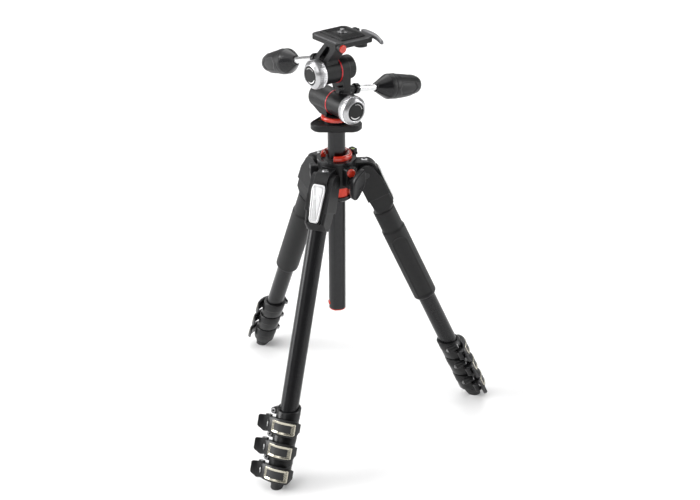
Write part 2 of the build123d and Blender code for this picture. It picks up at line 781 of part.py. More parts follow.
tray_x, tray_y = tray_centre
tray_back = tray_y + tray_width / 2
tray_right = tray_x + tray_length / 2
side_cap_centre = (-17.3, tray_top - 7.2)
side_cap_seat = 0.4         # cap's boss stands out of the tray's side
tray_bottom = tray_top - tray_thickness
side_barrel_end = tilt_barrel_end - 2
side_frame = Plane(origin=(-9, -19, side_height + 17.5), x_dir=(0, 1, 0),
                   z_dir=(-cos(radians(side_handle_fall)), 0, -sin(radians(side_handle_fall))))
with BuildPart() as platform:
    with BuildSketch(Plane.XZ.offset(ring_place)):
        with Locations((0, side_height)):
            Circle(barrel_radius)
    extrude(amount=side_barrel_end - ring_place)
    # leaning neck from the barrel up to the tray
    with BuildSketch(Plane.XZ.offset(5)):
        with BuildLine():
            Polyline((-10, side_height + 10), (11, side_height + 10), (13, side_height + 18),
                     (tray_right - 6, tray_bottom - 2), (tray_right - 6, tray_top - 2),
                     (11, tray_top - 2), (-10, side_height + 25), (-10, side_height + 10))
        make_face()
    extrude(amount=19.5)
    # tray that holds the quick release plate
    with BuildSketch(Plane.XY.offset(tray_bottom)):
        with Locations(tray_centre):
            RectangleRounded(tray_length, tray_width, 7)
    extrude(amount=tray_thickness)
    chamfer(platform.faces().sort_by(Axis.Z)[-1].edges(), 1.2)
    with BuildSketch(Plane.XY.offset(tray_bottom)):
        with Locations((tray_right - 12, tray_back - 14)):
            Circle(9)
    extrude(amount=-6)
    with BuildSketch(Plane.XY.offset(tray_top)):
        with Locations(plate_centre):
            RectangleRounded(plate_length + 2 * part_gap, plate_width + 2 * part_gap, 3 + part_gap)
    extrude(amount=-plate_pocket, mode=Mode.SUBTRACT)
    # light well under the camera screw
    with BuildSketch(Plane.XY.offset(tray_top)):
        with Locations(plate_centre):
            Circle(11)
    extrude(amount=-tray_thickness - 1, mode=Mode.SUBTRACT)
    # pocket in the neck's outer side
    with BuildSketch(Plane.XZ.offset(24.5)):
        with BuildLine():
            Polyline((-4, side_height + 17), (4, side_height + 17), (19, tray_bottom - 6),
                     (19, tray_bottom - 1), (13, tray_bottom - 1), (-4, side_height + 22),
                     (-4, side_height + 17))
        make_face()
    extrude(amount=-9, mode=Mode.SUBTRACT)
    # boss on the tray's side for the round cap
    with BuildSketch(Plane.YZ.offset(tray_right - 12)):
        with Locations(side_cap_centre):
            Circle(side_cap_radius + 0.8)
    extrude(amount=12 + side_cap_seat)
    with BuildSketch(side_frame.offset(-2)):
        Circle(handle_boss_radius)
    extrude(amount=handle_boss_end + 2)
    with BuildSketch(side_frame.offset(handle_root_start - 1)):
        Circle(handle_root_radius + running_gap)
    extrude(amount=16, mode=Mode.SUBTRACT)
    with BuildSketch(Plane.XZ):
        with Locations((0, side_height)):
            Circle(shaft_radius + running_gap)
    extrude(amount=60, mode=Mode.SUBTRACT)
save(platform, "platform")

with BuildPart() as platform_cap:
    with BuildSketch(Plane.YZ.offset(tray_right + side_cap_seat)):
        with Locations(side_cap_centre):
            Circle(side_cap_radius)
    extrude(amount=cap_thickness)
    chamfer(platform_cap.edges().group_by(Axis.X)[-1], 0.6)
save(platform_cap, "platform_cap")

plate_seat = tray_top - plate_pocket + part_gap
with BuildPart() as quick_release_plate:
    with BuildSketch(Plane.XY.offset(plate_seat)):
        with Locations(plate_centre):
            RectangleRounded(plate_length, plate_width, 3)
    extrude(amount=plate_thickness)
    chamfer(quick_release_plate.edges().group_by(Axis.Z)[-1], 0.8)
    with BuildSketch(Plane.XY.offset(plate_seat)):
        with Locations(plate_centre):
            Circle(screw_head_radius + 0.2)
    extrude(amount=3.2, mode=Mode.SUBTRACT)
    with BuildSketch(Plane.XY.offset(plate_seat)):
        with Locations(plate_centre):
            Circle(camera_screw_radius + running_gap)
    extrude(amount=10, mode=Mode.SUBTRACT)
save(quick_release_plate, "quick_release_plate")

screw_top = plate_seat + plate_thickness + screw_standing
with BuildPart() as camera_screw:
    with BuildSketch(Plane.XY.offset(plate_seat + 0.6)):
        with Locations(plate_centre):
            Circle(screw_head_radius)
    extrude(amount=2.4)
    with BuildSketch(Plane.XY.offset(plate_seat + 0.6)):
        with Locations(plate_centre):
            Rectangle(14, 1.4)
    extrude(amount=1.2, mode=Mode.SUBTRACT)
    # thin neck through the plate, and the full thread standing above it
    with BuildSketch(Plane.XY.offset(plate_seat + 2)):
        with Locations(plate_centre):
            Circle(screw_neck_radius)
    extrude(amount=plate_thickness)
    with BuildSketch(Plane.XY.offset(plate_seat + plate_thickness + part_gap)):
        with Locations(plate_centre):
            Circle(camera_screw_radius)
    extrude(amount=screw_standing - part_gap)
    chamfer(camera_screw.edges().group_by(Axis.Z)[-1], 0.5)
save(camera_screw, "camera_screw")

plate_lever_hinge = (10, tray_back + part_gap + plate_lever_radius)
with BuildPart() as plate_lever:
    with BuildSketch(Plane.XY.offset(tray_top - 4.5)):
        with BuildLine():
            Polyline((plate_lever_hinge[0], tray_back + part_gap), (tray_right - 6, tray_back + part_gap),
                     (tray_right + 3, tray_back - 1), (tray_right + 17, tray_back - 3),
                     (tray_right + 18.5, tray_back + 3), (tray_right + 4, tray_back + 6.2),
                     (plate_lever_hinge[0], tray_back + part_gap + 2 * plate_lever_radius),
                     (plate_lever_hinge[0], tray_back + part_gap))
        make_face()
        with Locations(plate_lever_hinge):
            Circle(plate_lever_radius)
    extrude(amount=plate_lever_height)
    chamfer(plate_lever.faces().sort_by(Axis.Z)[-1].edges(), 0.8)
save(plate_lever, "plate_lever")

with BuildPart() as safety_catch:
    with BuildSketch(Plane.XY.offset(tray_top - 5)):
        with Locations((-6, tray_back + part_gap + 2.5)):
            RectangleRounded(11, 5, 1)
    extrude(amount=5)
save(safety_catch, "safety_catch")


def handle_rod(frame, grip_start):
    # threaded root, stop collar and bright rod
    with BuildPart() as rod:
        with BuildSketch(frame.offset(handle_root_start)):
            Circle(handle_root_radius)
        extrude(amount=handle_collar_start - handle_root_start + 1)
        with BuildSketch(frame.offset(handle_collar_start)):
            Circle(handle_collar_radius)
        extrude(amount=handle_collar_length)
        with BuildSketch(frame.offset(handle_collar_start + handle_collar_length - 0.2)):
            Circle(handle_rod_radius)
        extrude(amount=grip_start + rod_in_grip - handle_collar_start - handle_collar_length + 0.2)
    return rod


def handle_grip(frame, start):
    # cone and rubber grip, bored to slide on the rod
    neck = 6.6
    with BuildPart() as grip:
        with BuildSketch(Plane(origin=frame.origin, x_dir=frame.x_dir, z_dir=-frame.y_dir)):
            with BuildLine():
                Polyline((0, start), (neck, start), (handle_grip_radius - 0.6, start + grip_cone))
                Spline((handle_grip_radius - 0.6, start + grip_cone),
                       (handle_grip_radius, start + grip_cone + 9),
                       (handle_grip_radius - 1.4, start + grip_cone + 30),
                       (handle_grip_radius - 5, start + grip_cone + handle_grip_length - 6))
                Spline((handle_grip_radius - 5, start + grip_cone + handle_grip_length - 6),
                       (handle_grip_radius - 8, start + grip_cone + handle_grip_length - 1.5),
                       (0, start + grip_cone + handle_grip_length))
                Line((0, start + grip_cone + handle_grip_length), (0, start))
            make_face()
        revolve(axis=Axis(frame.origin, frame.z_dir))
        with BuildSketch(frame.offset(start)):
            Circle(handle_rod_radius + running_gap)
        extrude(amount=grip_cone + handle_grip_length - 14.5, mode=Mode.SUBTRACT)
    return grip


handles = {"rear": (rear_frame, rear_grip_start), "side": (side_frame, side_grip_start)}
for handle_name, (frame, grip_start) in handles.items():
    save(handle_rod(frame, grip_start), f"{handle_name}_handle_rod")
    save(handle_grip(frame, grip_start), f"{handle_name}_handle_grip")
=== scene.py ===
import json
import math

import bmesh
import bpy
from mathutils import Matrix, Vector


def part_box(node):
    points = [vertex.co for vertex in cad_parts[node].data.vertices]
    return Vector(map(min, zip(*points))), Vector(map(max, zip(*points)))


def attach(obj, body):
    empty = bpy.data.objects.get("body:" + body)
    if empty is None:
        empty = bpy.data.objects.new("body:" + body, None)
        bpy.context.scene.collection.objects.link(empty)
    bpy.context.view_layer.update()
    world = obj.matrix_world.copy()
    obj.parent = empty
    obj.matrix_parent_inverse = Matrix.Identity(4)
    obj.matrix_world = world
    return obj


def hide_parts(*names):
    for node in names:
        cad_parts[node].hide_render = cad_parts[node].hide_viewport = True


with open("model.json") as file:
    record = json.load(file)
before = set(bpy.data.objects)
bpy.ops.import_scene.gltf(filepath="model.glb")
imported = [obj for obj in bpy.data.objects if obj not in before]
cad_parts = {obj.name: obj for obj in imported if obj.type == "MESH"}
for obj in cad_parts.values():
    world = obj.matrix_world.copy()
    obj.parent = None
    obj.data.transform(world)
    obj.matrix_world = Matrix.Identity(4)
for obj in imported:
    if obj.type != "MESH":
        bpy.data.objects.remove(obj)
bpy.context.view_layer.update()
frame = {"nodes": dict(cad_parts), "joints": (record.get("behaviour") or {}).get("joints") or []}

# Studio. A plain pale floor under a broad soft overhead light, between tall bright panels on the
# left and the right, and a long lens that looks down from the front right.
floor_mesh = bpy.data.meshes.new("studio_floor")
floor_reach = 60
floor_mesh.from_pydata(
    [(-floor_reach, -floor_reach, 0), (floor_reach, -floor_reach, 0), (floor_reach, floor_reach, 0),
     (-floor_reach, floor_reach, 0)], [], [(0, 1, 2, 3)])
studio_floor = bpy.data.objects.new("studio_floor", floor_mesh)
bpy.context.scene.collection.objects.link(studio_floor)
paper = bpy.data.materials.new("white_paper")
paper.use_nodes = True
paper.node_tree.nodes["Principled BSDF"].inputs["Base Color"].default_value = (0.93, 0.93, 0.93, 1)
paper.node_tree.nodes["Principled BSDF"].inputs["Roughness"].default_value = 0.9
paper.node_tree.nodes["Principled BSDF"].inputs["Specular IOR Level"].default_value = 0.1
floor_mesh.materials.append(paper)

sky = bpy.data.worlds.new("studio_walls")
sky.use_nodes = True
bpy.context.scene.world = sky
bpy.context.scene.view_settings.view_transform = "Standard"
wall_nodes, wall_links = sky.node_tree.nodes, sky.node_tree.links
view_line = wall_nodes.new("ShaderNodeTexCoord").outputs["Generated"]
level_part = wall_nodes.new("ShaderNodeVectorMath")
level_part.operation = "MULTIPLY"
level_part.inputs[1].default_value = (1, 1, 0)
wall_links.new(view_line, level_part.inputs[0])
level_line = wall_nodes.new("ShaderNodeVectorMath")
level_line.operation = "NORMALIZE"
wall_links.new(level_part.outputs["Vector"], level_line.inputs[0])
height_parts = wall_nodes.new("ShaderNodeSeparateXYZ")
wall_links.new(view_line, height_parts.inputs[0])


def ramp(value, low, high):
    step = wall_nodes.new("ShaderNodeMapRange")
    step.interpolation_type = "SMOOTHSTEP"
    step.inputs["From Min"].default_value, step.inputs["From Max"].default_value = low, high
    wall_links.new(value, step.inputs["Value"])
    return step.outputs["Result"]


def product(a, b):
    node = wall_nodes.new("ShaderNodeMath")
    node.operation = "MULTIPLY"
    for socket, value in zip(node.inputs, (a, b)):
        if isinstance(value, float):
            socket.default_value = value
        else:
            wall_links.new(value, socket)
    return node.outputs[0]


panel_fade, end_fade = 3, 0.06


def lit_wall(azimuth, half_width, low, high, glow):
    # a tall bright panel far away: its heading and half width in degrees, its lower and upper ends
    # as sines of the elevation
    aim = wall_nodes.new("ShaderNodeVectorMath")
    aim.operation = "DOT_PRODUCT"
    aim.inputs[1].default_value = (math.cos(math.radians(azimuth)), math.sin(math.radians(azimuth)), 0)
    wall_links.new(level_line.outputs["Vector"], aim.inputs[0])
    across = ramp(aim.outputs["Value"], math.cos(math.radians(half_width + panel_fade)),
                  math.cos(math.radians(half_width - panel_fade)))
    upwards = product(ramp(height_parts.outputs["Z"], low - end_fade, low + end_fade),
                      ramp(height_parts.outputs["Z"], high + end_fade, high - end_fade))
    return product(product(across, upwards), glow)


left_panel, right_panel = (233.5, 11, 0.02, 0.62, 13.0), (53.5, 8, 0.02, 0.62, 9.0)
back_panel, front_panel = (143.0, 34, 0.45, 0.85, 2.6), (285.0, 13, 0.30, 0.75, 2.2)
total = None
for panel in (left_panel, right_panel, back_panel, front_panel):
    light = lit_wall(*panel)
    if total is not None:
        both = wall_nodes.new("ShaderNodeMath")
        wall_links.new(total, both.inputs[0])
        wall_links.new(light, both.inputs[1])
        light = both.outputs[0]
    total = light
dim = wall_nodes.new("ShaderNodeMath")
dim.inputs[1].default_value = 0.10
wall_links.new(total, dim.inputs[0])
wall_links.new(dim.outputs[0], wall_nodes["Background"].inputs["Strength"])
wall_nodes["Background"].inputs["Color"].default_value = (1.0, 1.0, 1.0, 1)

overhead = bpy.data.lights.new("overhead", "SUN")
overhead.energy, overhead.angle = 1.7, math.radians(70)
ceiling = bpy.data.objects.new("overhead", overhead)
ceiling.rotation_euler = (math.radians(14), math.radians(-10), 0)
bpy.context.scene.collection.objects.link(ceiling)

camera = bpy.data.objects.new("camera", bpy.data.cameras.new("camera"))
camera.data.lens, camera.data.sensor_width = 57.68, 36
camera.location = (1.1756, -0.8688, 1.0515)
heading, dip = math.radians(142.79), math.radians(28.01)
looking = Vector((math.cos(heading) * math.cos(dip), math.sin(heading) * math.cos(dip), -math.sin(dip)))
camera.rotation_euler = looking.to_track_quat("-Z", "Y").to_euler()
bpy.context.scene.collection.objects.link(camera)
bpy.context.scene.camera = camera

# Spider. A die-cast magnesium hub in fine textured black powder coat, with three forked ears for
# the legs. A bright socket screw in each ear's flat top holds that leg's pivot pin.


def finish(name, light, dark, roughness, metallic=0.0, grain=0.5, depth=0.0, rounding=0.35, edge_wear_and_highlight=0.0,
           coat=0.0, speck=6.0, gleam=0.5):
    # surface in metres: light and dark colours drift over the piece, grain is the coat's texture
    # in millimetres, and the edge mask lightens edges, partly as wear that hands and bags rub and partly as a
    # painted edge highlight
    made = bpy.data.materials.new(name)
    made.use_nodes = True
    nodes, links = made.node_tree.nodes, made.node_tree.links
    shader = nodes["Principled BSDF"]
    shader.inputs["Metallic"].default_value = metallic
    shader.inputs["Specular IOR Level"].default_value = gleam
    shader.inputs["Coat Weight"].default_value = coat
    shader.inputs["Coat Roughness"].default_value = 0.12
    place = nodes.new("ShaderNodeTexCoord")

    def cloud(size, detail):
        noise = nodes.new("ShaderNodeTexNoise")
        noise.inputs["Scale"].default_value = 1000 / size
        noise.inputs["Detail"].default_value = detail
        links.new(place.outputs["Object"], noise.inputs["Vector"])
        return noise.outputs["Fac"]

    drift = cloud(speck, 4)
    fine = cloud(grain, 2)
    blend = nodes.new("ShaderNodeMix")
    blend.data_type = "RGBA"
    blend.inputs["A"].default_value = (*dark, 1)
    blend.inputs["B"].default_value = (*light, 1)
    links.new(drift, blend.inputs["Factor"])
    colour = blend.outputs["Result"]
    soft = nodes.new("ShaderNodeBevel")
    soft.samples = 4
    soft.inputs["Radius"].default_value = rounding / 1000
    # painted edge highlight as well as wear: where the rounded normal turns away from the true one, the
    # colour is pushed towards pale grey
    if edge_wear_and_highlight:
        flat = nodes.new("ShaderNodeNewGeometry")
        meet = nodes.new("ShaderNodeVectorMath")
        meet.operation = "DOT_PRODUCT"
        links.new(soft.outputs["Normal"], meet.inputs[0])
        links.new(flat.outputs["Normal"], meet.inputs[1])
        rubbed_and_highlit_edge = nodes.new("ShaderNodeMapRange")
        rubbed_and_highlit_edge.inputs["From Min"].default_value = 0.995
        rubbed_and_highlit_edge.inputs["From Max"].default_value = 0.85
        rubbed_and_highlit_edge.inputs["To Max"].default_value = edge_wear_and_highlight
        links.new(meet.outputs["Value"], rubbed_and_highlit_edge.inputs["Value"])
        edge = nodes.new("ShaderNodeMix")
        edge.data_type = "RGBA"
        edge.inputs["B"].default_value = (0.30, 0.30, 0.31, 1)
        links.new(rubbed_and_highlit_edge.outputs["Result"], edge.inputs["Factor"])
        links.new(colour, edge.inputs["A"])
        colour = edge.outputs["Result"]
    links.new(colour, shader.inputs["Base Color"])
    sheen = nodes.new("ShaderNodeMapRange")
    sheen.inputs["To Min"].default_value = roughness * 0.85
    sheen.inputs["To Max"].default_value = roughness * 1.15
    links.new(fine, sheen.inputs["Value"])
    links.new(sheen.outputs["Result"], shader.inputs["Roughness"])
    bump = nodes.new("ShaderNodeBump")
    bump.inputs["Strength"].default_value = min(1.0, 0.15 + depth)
    bump.inputs["Distance"].default_value = 0.0002 * depth
    links.new(fine, bump.inputs["Height"])
    links.new(soft.outputs["Normal"], bump.inputs["Normal"])
    links.new(bump.outputs["Normal"], shader.inputs["Normal"])
    return made


def dress(coat, *names):
    for name in names:
        node = frame["nodes"][name]
        node.data.materials.clear()
        node.data.materials.append(coat)


def seat(origin, across, along):
    # local frame in millimetres: z runs along, x lies towards across
    z = Vector(along).normalized()
    x = (Vector(across) - z * z.dot(Vector(across))).normalized()
    turn = Matrix((x, z.cross(x), z)).transposed().to_4x4()
    return Matrix.Translation(origin) @ turn @ Matrix.Scale(0.001, 4)


def loft(rings, looped=False):
    # skin over a row of rings; a looped row closes on itself, any other is capped
    shape = bmesh.new()
    rows = [[shape.verts.new(point) for point in ring] for ring in rings]
    pairs = list(zip(rows, rows[1:]))
    if looped:
        pairs.append((rows[-1], rows[0]))
    else:
        shape.faces.new(rows[0])
        shape.faces.new(rows[-1])
    for near, far in pairs:
        for i in range(len(near)):
            j = (i + 1) % len(near)
            shape.faces.new((near[i], near[j], far[j], far[i]))
    bmesh.ops.recalc_face_normals(shape, faces=shape.faces)
    return shape


def circle(radius, height, steps, centre=(0, 0)):
    return [(centre[0] + radius * math.cos(math.tau * i / steps),
             centre[1] + radius * math.sin(math.tau * i / steps), height) for i in range(steps)]


def lathe(profile, steps=72, looped=False, centre=(0, 0)):
    return loft([circle(radius, height, steps, centre) for radius, height in profile], looped)


def socket_screw(radius, height, socket, steps=24):
    # cap screw head with a hexagon socket
    def hexagon(level):
        ring = []
        for i in range(steps):
            turn = math.tau * i / steps
            reach = socket * math.cos(math.pi / 6) / math.cos((turn % (math.pi / 3)) - math.pi / 6)
            ring.append((reach * math.cos(turn), reach * math.sin(turn), level))
        return ring

    soft = min(0.5, height / 3)
    return loft([circle(radius, -0.6, steps), circle(radius, height - soft, steps),
                 circle(radius - soft * 0.4, height - soft * 0.3, steps),
                 circle(radius - soft, height, steps),
                 hexagon(height), hexagon(height - 1.1 * socket * 0.6)])


def copies_tree(name, row):
    # copies of one piece round an axis, or in rows across a flat
    tree = bpy.data.node_groups.new(name, "GeometryNodeTree")
    sockets = tree.interface
    sockets.new_socket("Geometry", in_out="INPUT", socket_type="NodeSocketGeometry")
    for label in ("Count", "Columns"):
        sockets.new_socket(label, in_out="INPUT", socket_type="NodeSocketInt")
    for label in ("Radius", "Height", "Start", "Step", "Row step"):
        sockets.new_socket(label, in_out="INPUT", socket_type="NodeSocketFloat")
    sockets.new_socket("Finish", in_out="INPUT", socket_type="NodeSocketMaterial")
    sockets.new_socket("Geometry", in_out="OUTPUT", socket_type="NodeSocketGeometry")
    nodes, links = tree.nodes, tree.links
    given = nodes.new("NodeGroupInput")

    def sum_of(kind, a, b, c=None):
        node = nodes.new("ShaderNodeMath")
        node.operation = kind
        for socket, value in zip(node.inputs, (a, b, c)):
            if value is not None:
                links.new(value, socket)
        return node.outputs[0]

    index = nodes.new("GeometryNodeInputIndex").outputs[0]
    spot = nodes.new("ShaderNodeCombineXYZ")
    turn = nodes.new("ShaderNodeCombineXYZ")
    if row:
        column = sum_of("MODULO", index, given.outputs["Columns"])
        line = sum_of("FLOOR", sum_of("DIVIDE", index, given.outputs["Columns"]), None)
        links.new(sum_of("MULTIPLY_ADD", column, given.outputs["Step"], given.outputs["Start"]),
                  spot.inputs["X"])
        links.new(sum_of("MULTIPLY_ADD", line, given.outputs["Row step"], given.outputs["Radius"]),
                  spot.inputs["Y"])
    else:
        angle = sum_of("MULTIPLY_ADD", index, given.outputs["Step"], given.outputs["Start"])
        links.new(sum_of("MULTIPLY", sum_of("COSINE", angle, None), given.outputs["Radius"]),
                  spot.inputs["X"])
        links.new(sum_of("MULTIPLY", sum_of("SINE", angle, None), given.outputs["Radius"]),
                  spot.inputs["Y"])
        links.new(angle, turn.inputs["Z"])
    links.new(given.outputs["Height"], spot.inputs["Z"])
    points = nodes.new("GeometryNodePoints")
    links.new(given.outputs["Count"], points.inputs["Count"])
    links.new(spot.outputs[0], points.inputs["Position"])
    stamp = nodes.new("GeometryNodeInstanceOnPoints")
    links.new(points.outputs[0], stamp.inputs["Points"])
    links.new(given.outputs["Geometry"], stamp.inputs["Instance"])
    links.new(turn.outputs[0], stamp.inputs["Rotation"])
    real = nodes.new("GeometryNodeRealizeInstances")
    links.new(stamp.outputs[0], real.inputs[0])
    coat = nodes.new("GeometryNodeSetMaterial")
    links.new(real.outputs[0], coat.inputs["Geometry"])
    links.new(given.outputs["Finish"], coat.inputs["Material"])
    links.new(coat.outputs[0], nodes.new("NodeGroupOutput").inputs["Geometry"])
    return tree


round_an_axis = copies_tree("copies_round_an_axis", row=False)
in_rows = copies_tree("copies_in_rows", row=True)


def fit(name, shapes, place, coat, body, sharp=32, repeat=None, stands_for=()):
    # makes one finished piece: its shapes in millimetres are put in place and hung on their body
    mesh = bpy.data.meshes.new(name)
    whole = bmesh.new()
    for shape in shapes if isinstance(shapes, list) else [shapes]:
        part = bpy.data.meshes.new("part")
        shape.to_mesh(part)
        shape.free()
        whole.from_mesh(part)
        bpy.data.meshes.remove(part)
    whole.to_mesh(mesh)
    whole.free()
    piece = bpy.data.objects.new(name, mesh)
    bpy.context.scene.collection.objects.link(piece)
    if repeat:
        tree, values = repeat
        modifier = piece.modifiers.new("copies", "NODES")
        modifier.node_group = tree
        for socket in tree.interface.items_tree:
            if socket.in_out == "INPUT" and socket.name in values:
                modifier[socket.identifier] = values[socket.name]
            if socket.in_out == "INPUT" and socket.name == "Finish":
                modifier[socket.identifier] = coat
        graph = bpy.context.evaluated_depsgraph_get()
        mesh = bpy.data.meshes.new_from_object(piece.evaluated_get(graph))
        piece.modifiers.clear()
        piece.data = mesh
    mesh.transform(place)
    mesh.materials.clear()
    mesh.materials.append(coat)
    mesh.shade_smooth()
    mesh.set_sharp_from_angle(angle=math.radians(sharp))
    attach(piece, body)
    if stands_for:
        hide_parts(*stands_for)
    return piece


black_cast = finish("black_powder_coat", (0.010, 0.010, 0.0105), (0.006, 0.006, 0.0065), 0.42, grain=0.45,
                    depth=0.5, rounding=0.9, edge_wear_and_highlight=0.22, gleam=0.28)
bright_steel = finish("bright_screw_steel", (0.46, 0.46, 0.46), (0.36, 0.36, 0.37), 0.30, metallic=1,
                      grain=0.8, depth=0.1, rounding=0.2)
black_steel = finish("blackened_steel", (0.05, 0.05, 0.052), (0.03, 0.03, 0.031), 0.35, metallic=0.8,
                     grain=0.8, depth=0.1, rounding=0.3, edge_wear_and_highlight=0.4)
dress(black_cast, "spider", "accessory_socket")
dress(black_steel, "shoulder_pins")

joints = {joint["name"]: joint for joint in frame["joints"]}
pivot = {name: Vector(joints[f"leg_{name}_spread"]["pos_m"]) for name in ("left", "front", "right")}
pivot_reach = math.hypot(pivot["front"].x, pivot["front"].y) * 1000
ear_height = 0.0181
ear_top = ear_height + pivot["front"].z
up = (0, 0, 1)
fit("ear_screws", socket_screw(4.8, 1.3, 2.2), seat((0, 0, ear_top), (1, 0, 0), up), bright_steel,
    "spider", repeat=(round_an_axis, {"Count": 3, "Radius": pivot_reach - 1.5, "Height": 0.0,
                                               "Start": math.radians(60), "Step": math.radians(120)}))
fit("ear_screw_wells", lathe([(5.0, -0.5), (6.2, -0.5), (6.2, 0.12), (5.8, 0.35), (5.3, 0.35), (5.0, 0.1)],
                             36, looped=True),
    seat((0, 0, ear_top), (1, 0, 0), up), black_steel, "spider",
    repeat=(round_an_axis, {"Count": 3, "Radius": pivot_reach - 1.5, "Height": 0.0,
                            "Start": math.radians(60), "Step": math.radians(120)}))

# Red collar parts. The open lip round the column, the sleeve below the hub and the cap in the
# column lock's boss are turned aluminium, dyed red; a black ring seals the sleeve's lower end.
red_anodised = finish("red_anodised_aluminium", (0.60, 0.040, 0.016), (0.50, 0.028, 0.012), 0.28,
                      metallic=0.55, grain=0.5, depth=0.15, rounding=0.5, coat=0.25)
red_gloss = finish("red_gloss_plastic", (0.60, 0.034, 0.014), (0.54, 0.026, 0.010), 0.24, grain=0.8,
                   depth=0.05, rounding=0.5, coat=0.6)
black_plastic = finish("black_gloss_plastic", (0.012, 0.012, 0.013), (0.008, 0.008, 0.009), 0.24, grain=0.6,
                       depth=0.12, rounding=0.5, gleam=0.35)
dress(red_gloss, "collar_ring", "clamp_cap", "column_end_cap", "release_button", "platform_cap")
dress(red_anodised, "column_sleeve")
dress(black_plastic, "sleeve_ring")

# Spirit level. A plastic ring that turns on the hub's neck, with a tab behind the column that
# holds a small round vial under clear resin.
dress(black_plastic, "level_ring")
low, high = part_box("level_ring")
vial_place = seat((0, high.y - 0.0045, high.z - 0.0042), (1, 0, 0), up)
vial_green = finish("level_fluid", (0.50, 0.68, 0.10), (0.42, 0.60, 0.08), 0.08, grain=2, rounding=0.2,
                    coat=1.0)
fit("level_vial", lathe([(2.9, 0), (2.9, 3.0), (2.6, 3.7), (1.8, 4.1), (0.8, 4.3), (0.1, 4.35)], 40),
    vial_place, vial_green, "level", sharp=60)
fit("level_bubble_mark", lathe([(1.0, 4.15), (1.35, 4.1), (1.35, 4.35), (1.0, 4.42)], 32, looped=True),
    vial_place, black_plastic, "level")

# Column lock. A moulded two-winged knob on a threaded stud; its face is dished inside a thick
# rolled rim, and a hollow rivet goes through the lower wing.


def inset(outline, by):
    # moves a closed outline inwards, keeping its number of points
    moved = []
    count = len(outline)
    turning = sum(outline[i - 1][0] * outline[i][1] - outline[i][0] * outline[i - 1][1] for i in range(count))
    side = by if turning > 0 else -by
    for i in range(count):
        before, here, after = outline[i - 1], outline[i], outline[(i + 1) % count]
        a = Vector((here[0] - before[0], here[1] - before[1])).normalized()
        b = Vector((after[0] - here[0], after[1] - here[1])).normalized()
        square = Vector((-a.y - b.y, a.x + b.x))
        square = square / max(0.4, square.length_squared) * 2
        moved.append((here[0] + square.x * side, here[1] + square.y * side))
    return moved


def rounded(corners, radius, steps=6):
    # closed outline whose corners are softened
    outline = []
    count = len(corners)
    for i in range(count):
        here = Vector(corners[i])
        for_in = Vector(corners[i - 1]) - here
        for_out = Vector(corners[(i + 1) % count]) - here
        cut = min(radius, for_in.length * 0.49, for_out.length * 0.49)
        start, end = here + for_in.normalized() * cut, here + for_out.normalized() * cut
        for k in range(steps + 1):
            t = k / steps
            point = start * (1 - t) ** 2 + here * 2 * t * (1 - t) + end * t ** 2
            outline.append((point.x, point.y))
    return outline


def stack(outline, levels):
    # slab built from one outline: each level is a height and how far the outline is drawn in there
    return loft([[(x, y, height) for x, y in inset(outline, drawn)] for height, drawn in levels])


def slab(outline, low, high, edge=0.5):
    return stack(outline, [(low, edge), (low + edge * 0.3, edge * 0.3), (low + edge, 0), (high - edge, 0),
                           (high - edge * 0.3, edge * 0.3), (high, edge)])


def curve_through(points, steps=8):
    # smooth line through points of any size
    line = []
    for i in range(len(points) - 1):
        p0, p1, p2, p3 = (Vector(points[max(0, min(len(points) - 1, i + k))]) for k in (-1, 0, 1, 2))
        for k in range(steps):
            t = k / steps
            line.append(0.5 * (2 * p1 + (p2 - p0) * t + (2 * p0 - 5 * p1 + 4 * p2 - p3) * t * t
                               + (3 * p1 - p0 - 3 * p2 + p3) * t ** 3))
    return line + [Vector(points[-1])]


knob_grey = finish("dark_grey_moulding", (0.020, 0.020, 0.021), (0.013, 0.013, 0.014), 0.34, grain=0.5,
                   depth=0.3, rounding=0.5, edge_wear_and_highlight=0.22, gleam=0.28)
lock_axis = Vector(joints["column_knob_turn"]["pos_m"])
lean = math.radians(-22)
wing_place = seat((0.046, 0, lock_axis.z), (0, math.cos(lean), math.sin(lean)), (1, 0, 0))
wing = [(p.x, p.y) for p in curve_through(
    [(0, 22.5), (4.5, 17), (8.4, 8), (9.3, 0), (8.0, -10), (5.0, -20), (0.5, -23), (-4.5, -20),
     (-9.0, -10), (-11.2, 0), (-9.6, 9), (-5.0, 18), (0, 22.5)], 6)][:-1]
fit("column_knob_wing", [
    stack(wing, [(0, 1.6), (0.5, 0.5), (1.6, 0), (6.8, 0), (8.2, 0.5), (8.9, 1.3), (8.9, 2.0), (8.3, 2.7),
                 (7.7, 3.4)]),
    lathe([(6.4, -9.7), (6.4, -3.0), (5.2, -2.4), (4.0, -2.0), (4.0, 1.5)], 40)],
    wing_place, knob_grey, "column_knob", sharp=50, stands_for=("column_knob",))
fit("column_knob_stud", lathe([(4, -29.4), (4, -9.5)], 32), wing_place, black_steel, "column_knob")
fit("column_knob_rivet", lathe([(1.0, 7.2), (2.0, 7.2), (2.2, 8.0), (1.8, 8.6), (1.3, 8.6), (1.0, 8.1)], 28,
                               looped=True, centre=(4.2, -6)),
    wing_place, black_steel, "column_knob")

# Column. A drawn aluminium tube, satin anodised, with three long flats that stop it turning; its
# top plate is a black casting with a raised rim and three set screws that hold the head.
column_satin = finish("dark_satin_anodised_column", (0.045, 0.045, 0.046), (0.036, 0.036, 0.037), 0.30,
                      metallic=1, grain=0.7, depth=0.05, rounding=0.6)
head_cast = finish("head_powder_coat", (0.012, 0.012, 0.0125), (0.007, 0.007, 0.0075), 0.40, grain=0.4,
                   depth=0.4, rounding=0.8, edge_wear_and_highlight=0.24, gleam=0.28)
dress(column_satin, "column_tube")
dress(black_cast, "column_top_plate")
dress(black_plastic, "pan_base")
plate_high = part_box("column_top_plate")[1]


